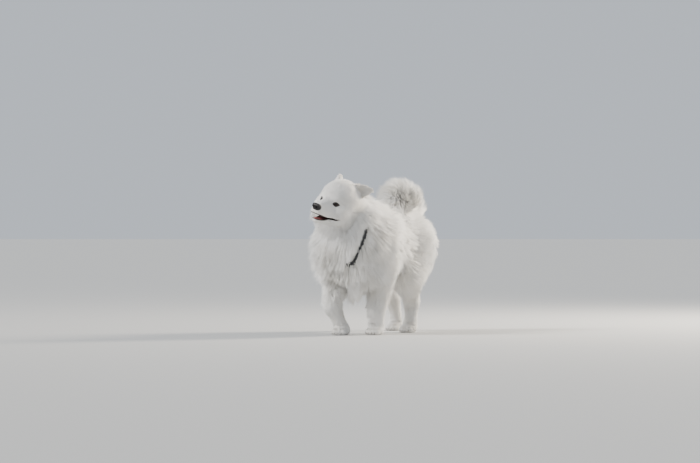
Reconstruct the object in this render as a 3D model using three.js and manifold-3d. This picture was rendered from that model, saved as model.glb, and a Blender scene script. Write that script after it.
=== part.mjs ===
// A life-size Samoyed dog, walking with its head tilted, and the loose collar that it wears.
// Millimetres, +Z up, +Y from head to tail, +X the dog's left. The four paws stand on Z = 0.
import * as THREE from "three";
import { mergeVertices } from "three/addons/utils/BufferGeometryUtils.js";
import Module from "manifold-3d";

const wasm = await Module();
wasm.setup();

// Driving sizes
const GAP = 0.3; // kept between sub-parts that touch
const GROWN = 0.4; // how far a sub-part is grown before it is cut from the one below it
const SKULL = new THREE.Vector3(-31, -347, 571); // middle of the brain case
const HEAD_YAW = 3.5; // degrees to the dog's right
const HEAD_PITCH = 7; // degrees up
const HEAD_ROLL = 20; // degrees, the left ear down
const CORE_SHARE = 0.45; // how much of a shaggy coat's depth is solid core
const LONGEST = 40; // edges shorter than this may be collapsed
const LEAST_WEDGE = 900; // six times the volume of the thinnest wedge in a lock
const DRIFT = 0.1; // and may move the surface by this much
const STANCE = new THREE.Vector3(1.8, 55, 0); // moves the box's middle over the origin

const point = (x, y, z) => new THREE.Vector3(x, y, z);

// The head's own frame: x towards the nose, y to the dog's left, z up
const headFrame = (() => {
  const yaw = THREE.MathUtils.degToRad(HEAD_YAW);
  const pitch = THREE.MathUtils.degToRad(HEAD_PITCH);
  const roll = THREE.MathUtils.degToRad(HEAD_ROLL);
  const forward = point(
    -Math.sin(yaw) * Math.cos(pitch),
    -Math.cos(yaw) * Math.cos(pitch),
    Math.sin(pitch),
  );
  const level = point(Math.cos(yaw), -Math.sin(yaw), 0);
  const left = level.clone().applyAxisAngle(forward, roll);
  if (left.z > 0) left.copy(level).applyAxisAngle(forward, -roll);
  const up = forward.clone().cross(left);
  return new THREE.Matrix4().makeBasis(forward, left, up).setPosition(SKULL);
})();
const inHead = (x, y, z) => point(x, y, z).applyMatrix4(headFrame);
const headAlong = (x, y, z) => point(x, y, z).transformDirection(headFrame);

// Signed distances. Each element of the body is an egg or a limb,
// with its coat's depth and the lie of its hair.
const elements = [];

function egg(part, centre, radii, coat, lie, more = {}) {
  const turn = (more.frame ?? new THREE.Matrix4()).clone().setPosition(0, 0, 0).transpose();
  const m = turn.elements;
  const depth = coat * (more.share ?? CORE_SHARE);
  const [a, b, c] = radii.map((r) => r + depth);
  const distance = (x, y, z) => {
    const dx = x - centre.x;
    const dy = y - centre.y;
    const dz = z - centre.z;
    const px = m[0] * dx + m[4] * dy + m[8] * dz;
    const py = m[1] * dx + m[5] * dy + m[9] * dz;
    const pz = m[2] * dx + m[6] * dy + m[10] * dz;
    const whole = Math.hypot(px / a, py / b, pz / c);
    const steep = Math.hypot(px / (a * a), py / (b * b), pz / (c * c));
    return steep < 1e-9 ? -Math.min(a, b, c) : (whole * (whole - 1)) / steep;
  };
  const reach = Math.max(a, b, c);
  elements.push({ part, distance, centre, reach, coat, lie, depth, blend: more.blend ?? 34 });
}

function limb(part, from, to, fromRadius, toRadius, coat, lie, more = {}) {
  const depth = coat * (more.share ?? CORE_SHARE);
  const along = to.clone().sub(from);
  const square = along.lengthSq();
  const distance = (x, y, z) => {
    const dx = x - from.x;
    const dy = y - from.y;
    const dz = z - from.z;
    const t = Math.min(1, Math.max(0, (dx * along.x + dy * along.y + dz * along.z) / square));
    const radius = fromRadius + (toRadius - fromRadius) * t + depth;
    return Math.hypot(dx - along.x * t, dy - along.y * t, dz - along.z * t) - radius;
  };
  const centre = from.clone().lerp(to, 0.5);
  const reach = Math.sqrt(square) / 2 + Math.max(fromRadius, toRadius) + depth;
  const flow = lie ?? along.clone().normalize();
  elements.push({ part, distance, centre, reach, coat, lie: flow, depth, blend: more.blend ?? 34 });
}

const backward = point(0, 0.8, -0.6).normalize();
const downward = point(0, 0.3, -1).normalize();

// Trunk
egg("torso", point(0, -70, 385), [106, 205, 136], 64, backward);
egg("torso", point(0, -135, 430), [90, 112, 98], 80, backward);
egg("torso", point(-4, -205, 365), [102, 78, 106], 84, point(0, 0.1, -1).normalize());
egg("torso", point(0, 110, 412), [90, 165, 98], 58, point(0, 0.85, -0.5).normalize());
egg("torso", point(0, 214, 412), [98, 124, 112], 58, backward);

// Neck, from the shoulders to the back of the skull, and the ruff around it
const neckBase = point(0, -165, 450);
const neckTop = point(-27, -282, 548);
limb("neck", neckTop, neckBase, 58, 96, 76);
egg("neck", point(-20, -268, 482), [94, 46, 96], 92, point(0, 0.2, -1).normalize());

// Legs: the named joints of each, from the top down
const legs = {
  foreleg_left: {
    top: point(80, -150, 420),
    elbow: point(90, -156, 282),
    wrist: point(82, -172, 114),
    fetlock: point(80, -172, 46),
    foot: point(80, -180, 0),
  },
  foreleg_right: {
    top: point(-82, -170, 420),
    elbow: point(-102, -200, 284),
    wrist: point(-82, -282, 128),
    fetlock: point(-52, -262, 50),
    foot: point(-42, -266, 0),
  },
  hindleg_left: {
    top: point(62, 206, 395),
    elbow: point(92, 92, 268),
    wrist: point(87, 172, 138),
    fetlock: point(86, 158, 44),
    foot: point(86, 146, 0),
  },
  hindleg_right: {
    top: point(-62, 206, 395),
    elbow: point(-92, 196, 268),
    wrist: point(-82, 318, 152),
    fetlock: point(-78, 340, 46),
    foot: point(-77, 332, 0),
  },
};
for (const [name, leg] of Object.entries(legs)) {
  const hind = name.startsWith("hind");
  const flow = hind ? backward : downward;
  limb(name, leg.top, leg.elbow, hind ? 84 : 50, hind ? 56 : 42, 50, flow, { blend: 34 });
  limb(name, leg.elbow, leg.wrist, hind ? 46 : 38, hind ? 20 : 24, hind ? 20 : 32, downward, { blend: 26 });
  limb(name, leg.wrist, leg.fetlock, hind ? 19 : 23, 19, 15, downward, { blend: 16 });
  const paw = { blend: 12, share: 0.9 };
  egg(name, leg.foot.clone().add(point(0, 0, 20)), [26, 36, 22], 9, downward, paw);
  for (const [across, along] of [[-21, 30], [-8, 38], [8, 38], [21, 30]]) {
    const toe = leg.foot.clone().add(point(across, -along, 12));
    egg(name, toe, [9, 15, 12], 5, point(0, -0.6, -0.6).normalize(), { blend: 5, share: 0.9 });
  }
}

// Head
const short = 0.8;
const face = (at, radii, coat, lie, blend, share = short) =>
  egg("head", inHead(...at), radii, coat, headAlong(...lie), { frame: headFrame, blend, share });
const bar = (from, to, fromRadius, toRadius, coat, blend) => {
  const more = { blend, share: short };
  limb("head", inHead(...from), inHead(...to), fromRadius, toRadius, coat, headAlong(-1, 0, 0), more);
};
face([-12, 0, 32], [72, 68, 66], 26, [-1, 0, 0.2], 20);
face([34, 0, 28], [38, 42, 34], 12, [-1, 0, 0.3], 18);
face([-26, 0, -34], [54, 56, 50], 32, [-1, 0, -0.6], 24, 0.5);
face([-64, 0, -22], [40, 88, 72], 70, [-0.6, 0, -0.8], 24);
for (const side of [1, -1]) {
  face([52, side * 26, 30], [16, 14, 10], 6, [-1, side * 0.4, 0.3], 12);
  face([14, side * 42, -24], [44, 32, 42], 28, [-1, side * 0.5, -0.4], 18, 0.55);
  bar([70, side * 17, -34], [130, side * 9, -42], 21, 14, 4, 12);
}
bar([56, 0, -14], [134, 0, -28], 36, 20, 4, 14);
bar([56, 0, 6], [142, 0, -14], 20, 13, 3, 12);
bar([30, 0, -60], [116, 0, -62], 24, 13, 6, 10);

// Tail: curled over the back, from its root to its tip
const tailCurve = [
  [point(0, 282, 492), 27],
  [point(-6, 310, 548), 25],
  [point(-6, 285, 590), 22],
  [point(4, 210, 606), 20],
  [point(18, 130, 594), 16],
  [point(32, 70, 566), 11],
];
tailCurve.slice(1).forEach(([to, toRadius], i) => {
  const [from, fromRadius] = tailCurve[i];
  limb(i ? "tail" : "tail_root", from, to, fromRadius, toRadius, i ? 76 : 56, undefined, { blend: 14 });
});

// Distance to the smooth union of some elements, from those near enough to matter
function bodyDistance(chosen) {
  return (x, y, z) => {
    let nearest = Infinity;
    for (const e of chosen) {
      const away = Math.hypot(x - e.centre.x, y - e.centre.y, z - e.centre.z) - e.reach;
      if (away > nearest + e.blend) continue;
      const d = e.distance(x, y, z);
      const mix = Math.max(e.blend - Math.abs(nearest - d), 0) / e.blend;
      nearest = Math.min(nearest, d) - (nearest === Infinity ? 0 : (mix * mix * e.blend) / 4);
    }
    return nearest;
  };
}
const tailElements = elements.filter((e) => e.part.startsWith("tail"));
const trunkElements = elements.filter((e) => e.part !== "tail");
const tailDistance = bodyDistance(tailElements);
const trunkDistance = bodyDistance(trunkElements);

// Fills grid points until no two parts of the surface touch along an edge or at a corner of a cell
function closeCorners(value, [nx, ny, nz], filled) {
  const steps = [1, nx, nx * ny];
  const fill = (points) => {
    const outside = points.filter((p) => value[p] > 0);
    value[outside.reduce((best, p) => (value[p] < value[best] ? p : best))] = filled;
  };
  for (let changed = true; changed; ) {
    changed = false;
    for (let k = 1; k + 2 < nz; k++)
      for (let j = 1; j + 2 < ny; j++)
        for (let i = 1; i + 2 < nx; i++) {
          const at = (k * ny + j) * nx + i;
          for (const [u, v] of [[steps[0], steps[1]], [steps[1], steps[2]], [steps[0], steps[2]]]) {
            const [a, b, c, d] = [at, at + u, at + u + v, at + v].map((p) => value[p] < 0);
            if (a !== c || b !== d || a === b) continue;
            fill([at, at + u, at + u + v, at + v]);
            changed = true;
          }
          const all = [0, 1, 2, 3, 4, 5, 6, 7].map(
            (c) => at + (c & 1) * steps[0] + ((c >> 1) & 1) * steps[1] + (c >> 2) * steps[2],
          );
          for (const inside of [true, false]) {
            const few = [0, 1, 2, 3, 4, 5, 6, 7].filter((c) => value[all[c]] < 0 === inside);
            if (few.length !== 2 || few[0] + few[1] !== 7) continue;
            fill(all);
            changed = true;
          }
        }
  }
}

// A closed surface, one vertex to each cell that the surface crosses
function surfaceNet(distance, low, high, cell) {
  const count = low.clone().sub(high).divideScalar(-cell).ceil().addScalar(3);
  const [nx, ny, nz] = count.toArray();
  const start = low.clone().subScalar(cell);
  const index = (i, j, k) => (k * ny + j) * nx + i;
  const value = new Float32Array(nx * ny * nz);
  for (let k = 0; k < nz; k++)
    for (let j = 0; j < ny; j++)
      for (let i = 0; i < nx; i++) {
        const [x, y, z] = [start.x + i * cell, start.y + j * cell, start.z + k * cell];
        const outside = Math.max(low.x - x, x - high.x, low.y - y, y - high.y, low.z - z, z - high.z);
        value[index(i, j, k)] = Math.max(outside, distance(x, y, z)) || 1e-4;
      }
  const corners = [0, 1, 2, 3, 4, 5, 6, 7].map((c) => [c & 1, (c >> 1) & 1, c >> 2]);
  closeCorners(value, [nx, ny, nz], -0.05 * cell);
  const edges = [];
  corners.forEach((a, m) => {
    corners.forEach((b, n) => {
      const apart = Math.abs(a[0] - b[0]) + Math.abs(a[1] - b[1]) + Math.abs(a[2] - b[2]);
      if (n > m && apart === 1) edges.push([a, b]);
    });
  });
  const vertex = new Int32Array(nx * ny * nz).fill(-1);
  const positions = [];
  for (let k = 0; k + 1 < nz; k++)
    for (let j = 0; j + 1 < ny; j++)
      for (let i = 0; i + 1 < nx; i++) {
        const sum = [0, 0, 0];
        let crossings = 0;
        for (const [a, b] of edges) {
          const va = value[index(i + a[0], j + a[1], k + a[2])];
          const vb = value[index(i + b[0], j + b[1], k + b[2])];
          if (va < 0 === vb < 0) continue;
          const t = va / (va - vb);
          for (let axis = 0; axis < 3; axis++) sum[axis] += a[axis] + (b[axis] - a[axis]) * t;
          crossings++;
        }
        if (!crossings) continue;
        vertex[index(i, j, k)] = positions.length / 3;
        positions.push(
          start.x + (i + sum[0] / crossings) * cell,
          start.y + (j + sum[1] / crossings) * cell,
          start.z + (k + sum[2] / crossings) * cell,
        );
      }
  const triangles = [];
  const apart = (a, b) =>
    Math.hypot(
      positions[3 * a] - positions[3 * b],
      positions[3 * a + 1] - positions[3 * b + 1],
      positions[3 * a + 2] - positions[3 * b + 2],
    );
  const steps = [[1, 0, 0], [0, 1, 0], [0, 0, 1]];
  for (let k = 1; k + 1 < nz; k++)
    for (let j = 1; j + 1 < ny; j++)
      for (let i = 1; i + 1 < nx; i++)
        for (let axis = 0; axis < 3; axis++) {
          const [a, b, c] = [steps[axis], steps[(axis + 1) % 3], steps[(axis + 2) % 3]];
          const here = value[index(i, j, k)];
          const next = value[index(i + a[0], j + a[1], k + a[2])];
          if (here < 0 === next < 0) continue;
          const cellAt = (m, n) =>
            vertex[index(i - m * b[0] - n * c[0], j - m * b[1] - n * c[1], k - m * b[2] - n * c[2])];
          let quad = [cellAt(0, 0), cellAt(1, 0), cellAt(1, 1), cellAt(0, 1)];
          if (here > 0) quad = quad.reverse();
          const [p, q, r, s] = quad;
          if (apart(p, r) <= apart(q, s)) triangles.push(p, q, r, p, r, s);
          else triangles.push(p, q, s, q, r, s);
        }
  return { positions, triangles };
}

// Solids
function solidOf({ positions, triangles }) {
  return new wasm.Manifold(
    new wasm.Mesh({
      numProp: 3,
      vertProperties: Float32Array.from(positions),
      triVerts: Uint32Array.from(triangles),
    }),
  );
}

function solidOfGeometry(geometry) {
  const bare = new THREE.BufferGeometry();
  bare.setAttribute("position", geometry.getAttribute("position"));
  bare.setIndex(geometry.index);
  const merged = mergeVertices(bare, 1e-3);
  return solidOf({ positions: merged.attributes.position.array, triangles: merged.index.array });
}

// The side of a plane that its normal points to, from `offset` beyond the plane
function halfSpace(at, normal, offset = 0) {
  const side = 3000;
  const box = new THREE.BoxGeometry(side, side, side).translate(0, 0, side / 2 + offset);
  box.applyQuaternion(new THREE.Quaternion().setFromUnitVectors(point(0, 0, 1), normal.clone().normalize()));
  return solidOfGeometry(box.translate(at.x, at.y, at.z));
}

// A region is the space in front of all its planes
const region = (...planes) => planes.map(([at, normal]) => ({ at, normal: normal.clone().normalize() }));
const regionSolid = (planes, offset) =>
  planes.map((p) => halfSpace(p.at, p.normal, offset)).reduce((all, one) => all.intersect(one));
const insideBy = (planes, p) => Math.min(...planes.map((q) => p.clone().sub(q.at).dot(q.normal)));

const headRegion = region([inHead(-66, 0, 45), headAlong(0.886, 0, 0.464)]);
const neckRegion = region([point(0, -130, 550), point(0, -0.543, 0.84)]);
const tailRegion = region([point(0, 298, 516), point(0, 0.45, 0.9)], [point(0, 262, 0), point(0, 1, 0)]);
const legRegion = (name) => {
  const side = name.endsWith("left") ? 1 : -1;
  return name.startsWith("fore")
    ? region(
        [point(side * 34, 0, 222), point(side * 0.5, 0, -0.866)],
        [point(side * 12, 0, 0), point(side, 0, 0)],
        [point(0, -50, 0), point(0, -1, 0)],
      )
    : region(
        [point(side * 30, 0, 268), point(side * 0.5, 0, -0.866)],
        [point(side * 12, 0, 0), point(side, 0, 0)],
        [point(0, 20, 0), point(0, 1, 0)],
      );
};
const pawTop = { foreleg: 58, hindleg: 52 };
const pawRegion = (name) => region([point(0, 0, pawTop[name.split("_")[0]]), point(0, 0, -1)]);
const faceRegion = region([inHead(16, 0, 0), headAlong(1, 0, 0)]);
const floor = region([point(0, 0, 0), point(0, 0, 1)]);

const largest = (solid) =>
  solid.decompose().reduce((best, one) => (one.volume() > best.volume() ? one : best));

// The same surface with each vertex moved outward until all the triangles round it have moved by enough
function swollen({ positions, triangles }, by) {
  const place = (v) => point(positions[3 * v], positions[3 * v + 1], positions[3 * v + 2]);
  const facing = Array.from({ length: positions.length / 3 }, () => []);
  for (let i = 0; i < triangles.length; i += 3) {
    const corners = [triangles[i], triangles[i + 1], triangles[i + 2]];
    const [a, b, c] = corners.map(place);
    const normal = b.sub(a).cross(c.sub(a));
    if (normal.length() > 1e-6) corners.forEach((v) => facing[v].push(normal.clone().normalize()));
  }
  const moved = facing.flatMap((normals, v) => {
    const move = point(0, 0, 0);
    for (let round = 0; round < 300; round++)
      for (const n of normals) move.addScaledVector(n, Math.max(0, by - n.dot(move)));
    return place(v).add(move.clampLength(0, 30 * by)).toArray();
  });
  return { positions: moved, triangles };
}

// Plain core of a sub-part: the body's surface in a box, cut at its regions' planes
function core(shape) {
  const { distance, low, high, cell, keep = [], leave = [], before, behind, stand = false, grown = 0 } = shape;
  const net = surfaceNet(distance, low, high, cell);
  let solid = solidOf(grown ? swollen(net, grown) : net);
  for (const planes of keep) solid = solid.intersect(regionSolid(planes, GAP / 2));
  for (const planes of leave) solid = solid.subtract(regionSolid(planes, -GAP / 2));
  if (before) solid = solid.intersect(regionSolid(before, -0.5));
  if (behind) solid = solid.subtract(regionSolid(behind, 0.5));
  if (stand) solid = solid.intersect(regionSolid(floor, 0));
  return largest(solid);
}

// Eyes, with the lids that wrap them
const EYE = {
  radius: 12,
  lid: 2.2,
  at: [57, 33, 13],
  gaze: [0.93, 0.36, 0.06],
  wide: 25,
  high: 12.5,
  tilt: 9,
};
const eyePlace = (side) => ({
  centre: inHead(EYE.at[0], side * EYE.at[1], EYE.at[2]),
  gaze: headAlong(EYE.gaze[0], side * EYE.gaze[1], EYE.gaze[2]).normalize(),
});
function ball(centre, radius, detail) {
  return solidOfGeometry(new THREE.IcosahedronGeometry(radius, detail).translate(...centre.toArray()));
}

// Almond opening between the lids, swept out along the gaze, its outer corner raised
function almond(side) {
  const { centre, gaze } = eyePlace(side);
  const shape = new THREE.Shape();
  shape.moveTo(-EYE.wide / 2, 0);
  shape.quadraticCurveTo(0, EYE.high, EYE.wide / 2, 0);
  shape.quadraticCurveTo(0, -EYE.high, -EYE.wide / 2, 0);
  const opening = new THREE.ExtrudeGeometry(shape, { depth: 30, bevelEnabled: false, curveSegments: 8 });
  const across = headAlong(0, side, 0);
  const up = gaze.clone().cross(across).multiplyScalar(side).normalize();
  across.copy(up).cross(gaze).multiplyScalar(side).normalize();
  const tilt = THREE.MathUtils.degToRad(EYE.tilt);
  const right = across.clone().multiplyScalar(Math.cos(tilt)).addScaledVector(up, Math.sin(tilt));
  const top = gaze.clone().cross(right);
  opening.applyMatrix4(new THREE.Matrix4().makeBasis(right, top, gaze).setPosition(centre));
  return solidOfGeometry(opening);
}

// Nose pad with its nostrils
const NOSE = { at: [143, 0, -22], size: [15, 21, 17] };
function nosePad(grown) {
  const geometry = new THREE.SphereGeometry(1, 14, 9).rotateX(Math.PI / 2);
  const places = geometry.getAttribute("position");
  const size = NOSE.size.map((r) => r + grown);
  for (let i = 0; i < places.count; i++) {
    const v = point(places.getX(i), places.getY(i), places.getZ(i));
    const narrow = 1 - 0.26 * Math.max(0, -v.z);
    const place = inHead(
      NOSE.at[0] + v.x * size[0],
      NOSE.at[1] + v.y * size[1] * narrow,
      NOSE.at[2] + v.z * size[2],
    );
    places.setXYZ(i, place.x, place.y, place.z);
  }
  return solidOfGeometry(geometry);
}
const nostril = (side) =>
  solidOfGeometry(
    new THREE.SphereGeometry(1, 8, 6)
      .scale(8, 4.2, 3.6)
      .rotateZ(side * 0.75)
      .rotateX(side * -0.35)
      .translate(NOSE.at[0] + 12, side * 10.5, NOSE.at[2] + 0.5)
      .applyMatrix4(headFrame),
  );

// Mouth: a wedge that opens forwards from its corners, the lips along both its edges, and the tongue in it
const MOUTH = { corner: [46, 36, -56], front: [132, -56], open: 12, lip: 3.2 };
function mouthWedge() {
  const [cx, , cz] = MOUTH.corner;
  const [fx, fz] = MOUTH.front;
  const shape = new THREE.Shape();
  shape.moveTo(cx - 2, cz);
  shape.quadraticCurveTo((cx + fx) / 2, fz - 1, fx + 30, fz + 4);
  shape.lineTo(fx + 30, fz - MOUTH.open);
  shape.quadraticCurveTo((cx + fx) / 2, fz - MOUTH.open - 1, cx - 2, cz - 2);
  const wedge = new THREE.ExtrudeGeometry(shape, { depth: 120, bevelEnabled: false, curveSegments: 6 });
  wedge.translate(0, 0, -60).rotateX(Math.PI / 2);
  return solidOfGeometry(wedge.applyMatrix4(headFrame));
}

// Ears: a cupped leaf from its root to its tip
const EARS = {
  ear_left: { root: [-38, 50, 90], tip: [-80, 106, 119], face: [0.8, 0.55, -0.1] },
  ear_right: { root: [-38, -48, 92], tip: [-76, -88, 126], face: [0.8, -0.55, -0.1] },
};
const EAR = { wide: 66, thick: 9, cup: 15, sunk: 14 };
function ear({ root, tip, face }, grown = 0) {
  const from = inHead(...root);
  const to = inHead(...tip);
  const along = to.clone().sub(from).normalize();
  const outward = headAlong(...face);
  outward.addScaledVector(along, -outward.dot(along)).normalize();
  const across = along.clone().cross(outward);
  const length = from.distanceTo(to);
  const [rows, columns] = [7, 7];
  const positions = [];
  const triangles = [];
  const ring = 2 * columns;
  for (let i = 0; i <= rows; i++) {
    const t = i / rows;
    const half = (EAR.wide / 2) * Math.pow(1 - Math.pow(t, 2.2), 0.62) * (1 - 0.12 * (1 - t)) + 2 + grown;
    const thick = EAR.thick * (1 - 0.45 * t) + 2 * grown;
    for (let j = 0; j < ring; j++) {
      const back = j >= columns;
      const u = (back ? ring - 1 - j : j) / (columns - 1);
      const s = 2 * u - 1;
      const rim = Math.sqrt(Math.max(0, 1 - s * s * s * s)) * 0.5 * thick;
      const cup = EAR.cup * (1 - t * 0.6) * (s * s - 0.5);
      positions.push(
        ...from
          .clone()
          .addScaledVector(along, (length + EAR.sunk) * t - EAR.sunk)
          .addScaledVector(across, half * s * (1 - 0.1 * s * s))
          .addScaledVector(outward, cup + (back ? -rim - 0.6 : rim + 0.6))
          .toArray(),
      );
    }
  }
  const start = positions.length / 3;
  positions.push(...from.clone().addScaledVector(along, -EAR.sunk - 1).toArray());
  positions.push(...to.clone().addScaledVector(along, 4 + grown).toArray());
  for (let j = 0; j < ring; j++) {
    const next = (j + 1) % ring;
    triangles.push(start, next, j);
    for (let i = 0; i < rows; i++) {
      const a = i * ring;
      triangles.push(a + j, a + next, a + ring + next, a + j, a + ring + next, a + ring + j);
    }
    triangles.push(rows * ring + j, rows * ring + next, start + 1);
  }
  return solidOf({ positions, triangles });
}

// Lips: a dark rim along both edges of the mouth, from corner to corner round the front
function lip(below, grown = 0) {
  const [cx, cy, cz] = MOUTH.corner;
  const [fx, fz] = MOUTH.front;
  const lift = below ? -MOUTH.open : 0;
  const reach = below ? -8 : 0;
  const half = [
    [cx, cy + 1, cz - 1],
    [cx + (fx - cx) * 0.35, cy - 6, fz + lift * 0.7 - 1],
    [cx + (fx - cx) * 0.7, 24, fz + lift * 0.95],
    [fx + reach, 16, fz + lift],
    [fx + reach + 13, 7, fz + lift],
  ];
  const all = [...half, ...half.map(([x, y, z]) => [x, -y, z]).reverse()];
  const curve = new THREE.CatmullRomCurve3(all.map((q) => inHead(...q)));
  return sweep(curve.getSpacedPoints(20), MOUTH.lip + grown, 5);
}

// A round bar through some points, closed into a loop when asked
function sweep(places, radius, sides, closed = false) {
  const n = places.length;
  const positions = [];
  const triangles = [];
  let normal = null;
  places.forEach((place, i) => {
    const before = places[closed ? (i + n - 1) % n : Math.max(0, i - 1)];
    const after = places[closed ? (i + 1) % n : Math.min(n - 1, i + 1)];
    const tangent = after.clone().sub(before).normalize();
    normal ??= Math.abs(tangent.z) < 0.9 ? point(0, 0, 1) : point(1, 0, 0);
    normal = normal.clone().addScaledVector(tangent, -normal.dot(tangent)).normalize();
    const side = tangent.clone().cross(normal);
    for (let j = 0; j < sides; j++) {
      const angle = (2 * Math.PI * j) / sides;
      const rim = place.clone().addScaledVector(normal, radius * Math.cos(angle));
      positions.push(...rim.addScaledVector(side, radius * Math.sin(angle)).toArray());
    }
  });
  for (let i = 0; i < (closed ? n : n - 1); i++)
    for (let j = 0; j < sides; j++) {
      const [a, b] = [i * sides, ((i + 1) % n) * sides];
      const next = (j + 1) % sides;
      triangles.push(a + j, a + next, b + next, a + j, b + next, b + j);
    }
  if (!closed)
    for (let j = 1; j + 1 < sides; j++) {
      const last = (n - 1) * sides;
      triangles.push(0, j + 1, j, last, last + j, last + j + 1);
    }
  return solidOf({ positions, triangles });
}

// Tongue: a rounded leaf that lies on the floor of the mouth
function tongue(grown = 0) {
  const [cx, , cz] = MOUTH.corner;
  const [fx, fz] = MOUTH.front;
  const geometry = new THREE.SphereGeometry(1, 10, 6).rotateX(Math.PI / 2);
  geometry.scale((fx - cx) / 2 - 4 + grown, 15 + grown, 3.6 + grown);
  geometry.translate((fx + cx) / 2 + 4, 0, fz - MOUTH.open + 4.2);
  return solidOfGeometry(geometry.applyMatrix4(headFrame));
}

// Collar: the way of its strap round the neck, from the nape down the left side, across the chest and up
const COLLAR = {
  wide: 20,
  thick: 3,
  way: [
    [0, -168, 600],
    [104, -232, 556],
    [128, -300, 500],
    [115, -332, 441],
    [88, -334, 382],
    [58, -342, 322],
    [36, -346, 304],
    [-14, -352, 295],
    [-66, -342, 318],
    [-118, -330, 400],
    [-142, -290, 480],
    [-112, -226, 556],
  ],
  sunk: 0.6,
  ring: [36, 22, 2.2],
  ringAt: [44, -346, 306],
  slideAt: [80, -337, 352],
};
const slope = (distance, p) => {
  const e = 2;
  return point(
    distance(p.x + e, p.y, p.z) - distance(p.x - e, p.y, p.z),
    distance(p.x, p.y + e, p.z) - distance(p.x, p.y - e, p.z),
    distance(p.x, p.y, p.z + e) - distance(p.x, p.y, p.z - e),
  ).normalize();
};
// Moves a point along the slope until it stands at a given height over the body
function settle(distance, p, height) {
  const q = p.clone();
  for (let i = 0; i < 12; i++) q.addScaledVector(slope(distance, q), height - distance(q.x, q.y, q.z));
  return q;
}
const strapWay = (() => {
  const curve = new THREE.CatmullRomCurve3(COLLAR.way.map((q) => point(...q)), true);
  return curve.getSpacedPoints(42).slice(0, -1).map((q) => settle(trunkDistance, q, -COLLAR.sunk));
})();
const strapNearest = (q) =>
  strapWay.reduce((best, p, i) => (p.distanceTo(q) < strapWay[best].distanceTo(q) ? i : best), 0);
function strapPlace(i) {
  const n = strapWay.length;
  const along = strapWay[(i + 1) % n].clone().sub(strapWay[(i + n - 1) % n]).normalize();
  const out = slope(trunkDistance, strapWay[i]);
  out.addScaledVector(along, -out.dot(along)).normalize();
  return { at: strapWay[i], along, out, across: out.clone().cross(along) };
}
function strap(grown = 0) {
  const n = strapWay.length;
  const positions = [];
  const triangles = [];
  const [half, thick] = [COLLAR.wide / 2 + grown, COLLAR.thick / 2 + grown];
  for (let i = 0; i < n; i++) {
    const { at, out, across } = strapPlace(i);
    for (const [w, h] of [[-half, -thick], [half, -thick], [half, thick], [-half, thick]])
      positions.push(...at.clone().addScaledVector(across, w).addScaledVector(out, h).toArray());
    for (let j = 0; j < 4; j++) {
      const [a, b] = [4 * i, 4 * ((i + 1) % n)];
      const k = (j + 1) % 4;
      triangles.push(a + j, a + k, b + k, a + j, b + k, b + j);
    }
  }
  return solidOf({ positions, triangles });
}
// A block on the strap, with rounded ends, square to it
function strapBlock(near, size, lift, down, grown = 0) {
  const { at, along, out, across } = strapPlace(strapNearest(point(...near)));
  const box = new THREE.BoxGeometry(...size.map((v) => v + 2 * grown)).translate(0, down, lift);
  box.applyMatrix4(new THREE.Matrix4().makeBasis(along, across, out).setPosition(at));
  return solidOfGeometry(box);
}
// The rectangular ring hangs level from its tab, with its corners rounded
function ring(grown = 0) {
  const { at, out } = strapPlace(strapNearest(point(...COLLAR.ringAt)));
  const [wide, high, bar] = COLLAR.ring;
  const right = point(0, 0, 1).cross(out).normalize();
  const down = out.clone().cross(right).multiplyScalar(-1);
  const top = at.clone().addScaledVector(out, COLLAR.thick / 2 + GAP + bar + 0.6).addScaledVector(down, -3);
  const shape = new THREE.Path();
  const [w, r] = [wide / 2, 5];
  shape.moveTo(-w + r, 0).lineTo(w - r, 0).quadraticCurveTo(w, 0, w, r).lineTo(w, high - r);
  shape.quadraticCurveTo(w, high, w - r, high).lineTo(-w + r, high).quadraticCurveTo(-w, high, -w, high - r);
  shape.lineTo(-w, r).quadraticCurveTo(-w, 0, -w + r, 0);
  const places = shape.getSpacedPoints(24).slice(0, -1);
  const along = places.map((q) => top.clone().addScaledVector(right, q.x).addScaledVector(down, q.y));
  return sweep(along, bar + grown, 5, true);
}

// Repeatable chance
let seed = 20417;
function chance(low, high) {
  seed = (seed * 1664525 + 1013904223) % 4294967296;
  return low + ((high - low) * seed) / 4294967296;
}

// The coat's depth over the core, and the way it lies, at a place on the body
function coatAt(chosen, p) {
  let total = 0;
  let over = 0;
  const lie = point(0, 0, 0);
  for (const e of chosen) {
    const weight = Math.exp(-Math.max(-20, e.distance(p.x, p.y, p.z)) / 14);
    total += weight;
    over += weight * (e.coat - e.depth);
    lie.addScaledVector(e.lie, weight);
  }
  return { over: over / total, lie: lie.normalize() };
}

const BLADE = [
  [0, 0.8],
  [0.34, 1],
  [0.72, 0.66],
];
// One lock: a flat blade that rises from under the core's surface to the tips of the coat
function makeLock(distance, chosen, root, style) {
  const { over, lie } = coatAt(chosen, root);
  const way = [];
  const p = settle(distance, root, -style.sunk);
  const flow = (style.lie ?? lie).clone();
  const swing = slope(distance, root).multiplyScalar(chance(-0.22, 0.22));
  flow.add(flow.clone().cross(swing)).normalize();
  const top = over * style.rise * chance(0.88, 1.02);
  const steps = 8;
  for (let i = 0; i <= steps; i++) {
    const t = i / steps;
    const out = slope(distance, p);
    way.push({ at: p.clone(), out, t });
    const along = flow.clone().addScaledVector(out, -flow.dot(out));
    if (along.length() < 0.25) along.addScaledVector(point(0, 0.2, -0.4), 1);
    along.normalize();
    p.addScaledVector(along, style.long / steps);
    const next = (i + 1) / steps;
    p.copy(settle(distance, p, -style.sunk + (top + style.sunk) * Math.pow(next, 0.75)));
  }
  const strides = way.slice(1).map(({ at }, i) => at.distanceTo(way[i].at) * steps);
  const even = strides.every((stride) => Math.abs(stride - style.long) < 0.6 * style.long);
  return { way, even, wide: style.wide * chance(0.85, 1.1), thick: style.thick };
}
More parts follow.
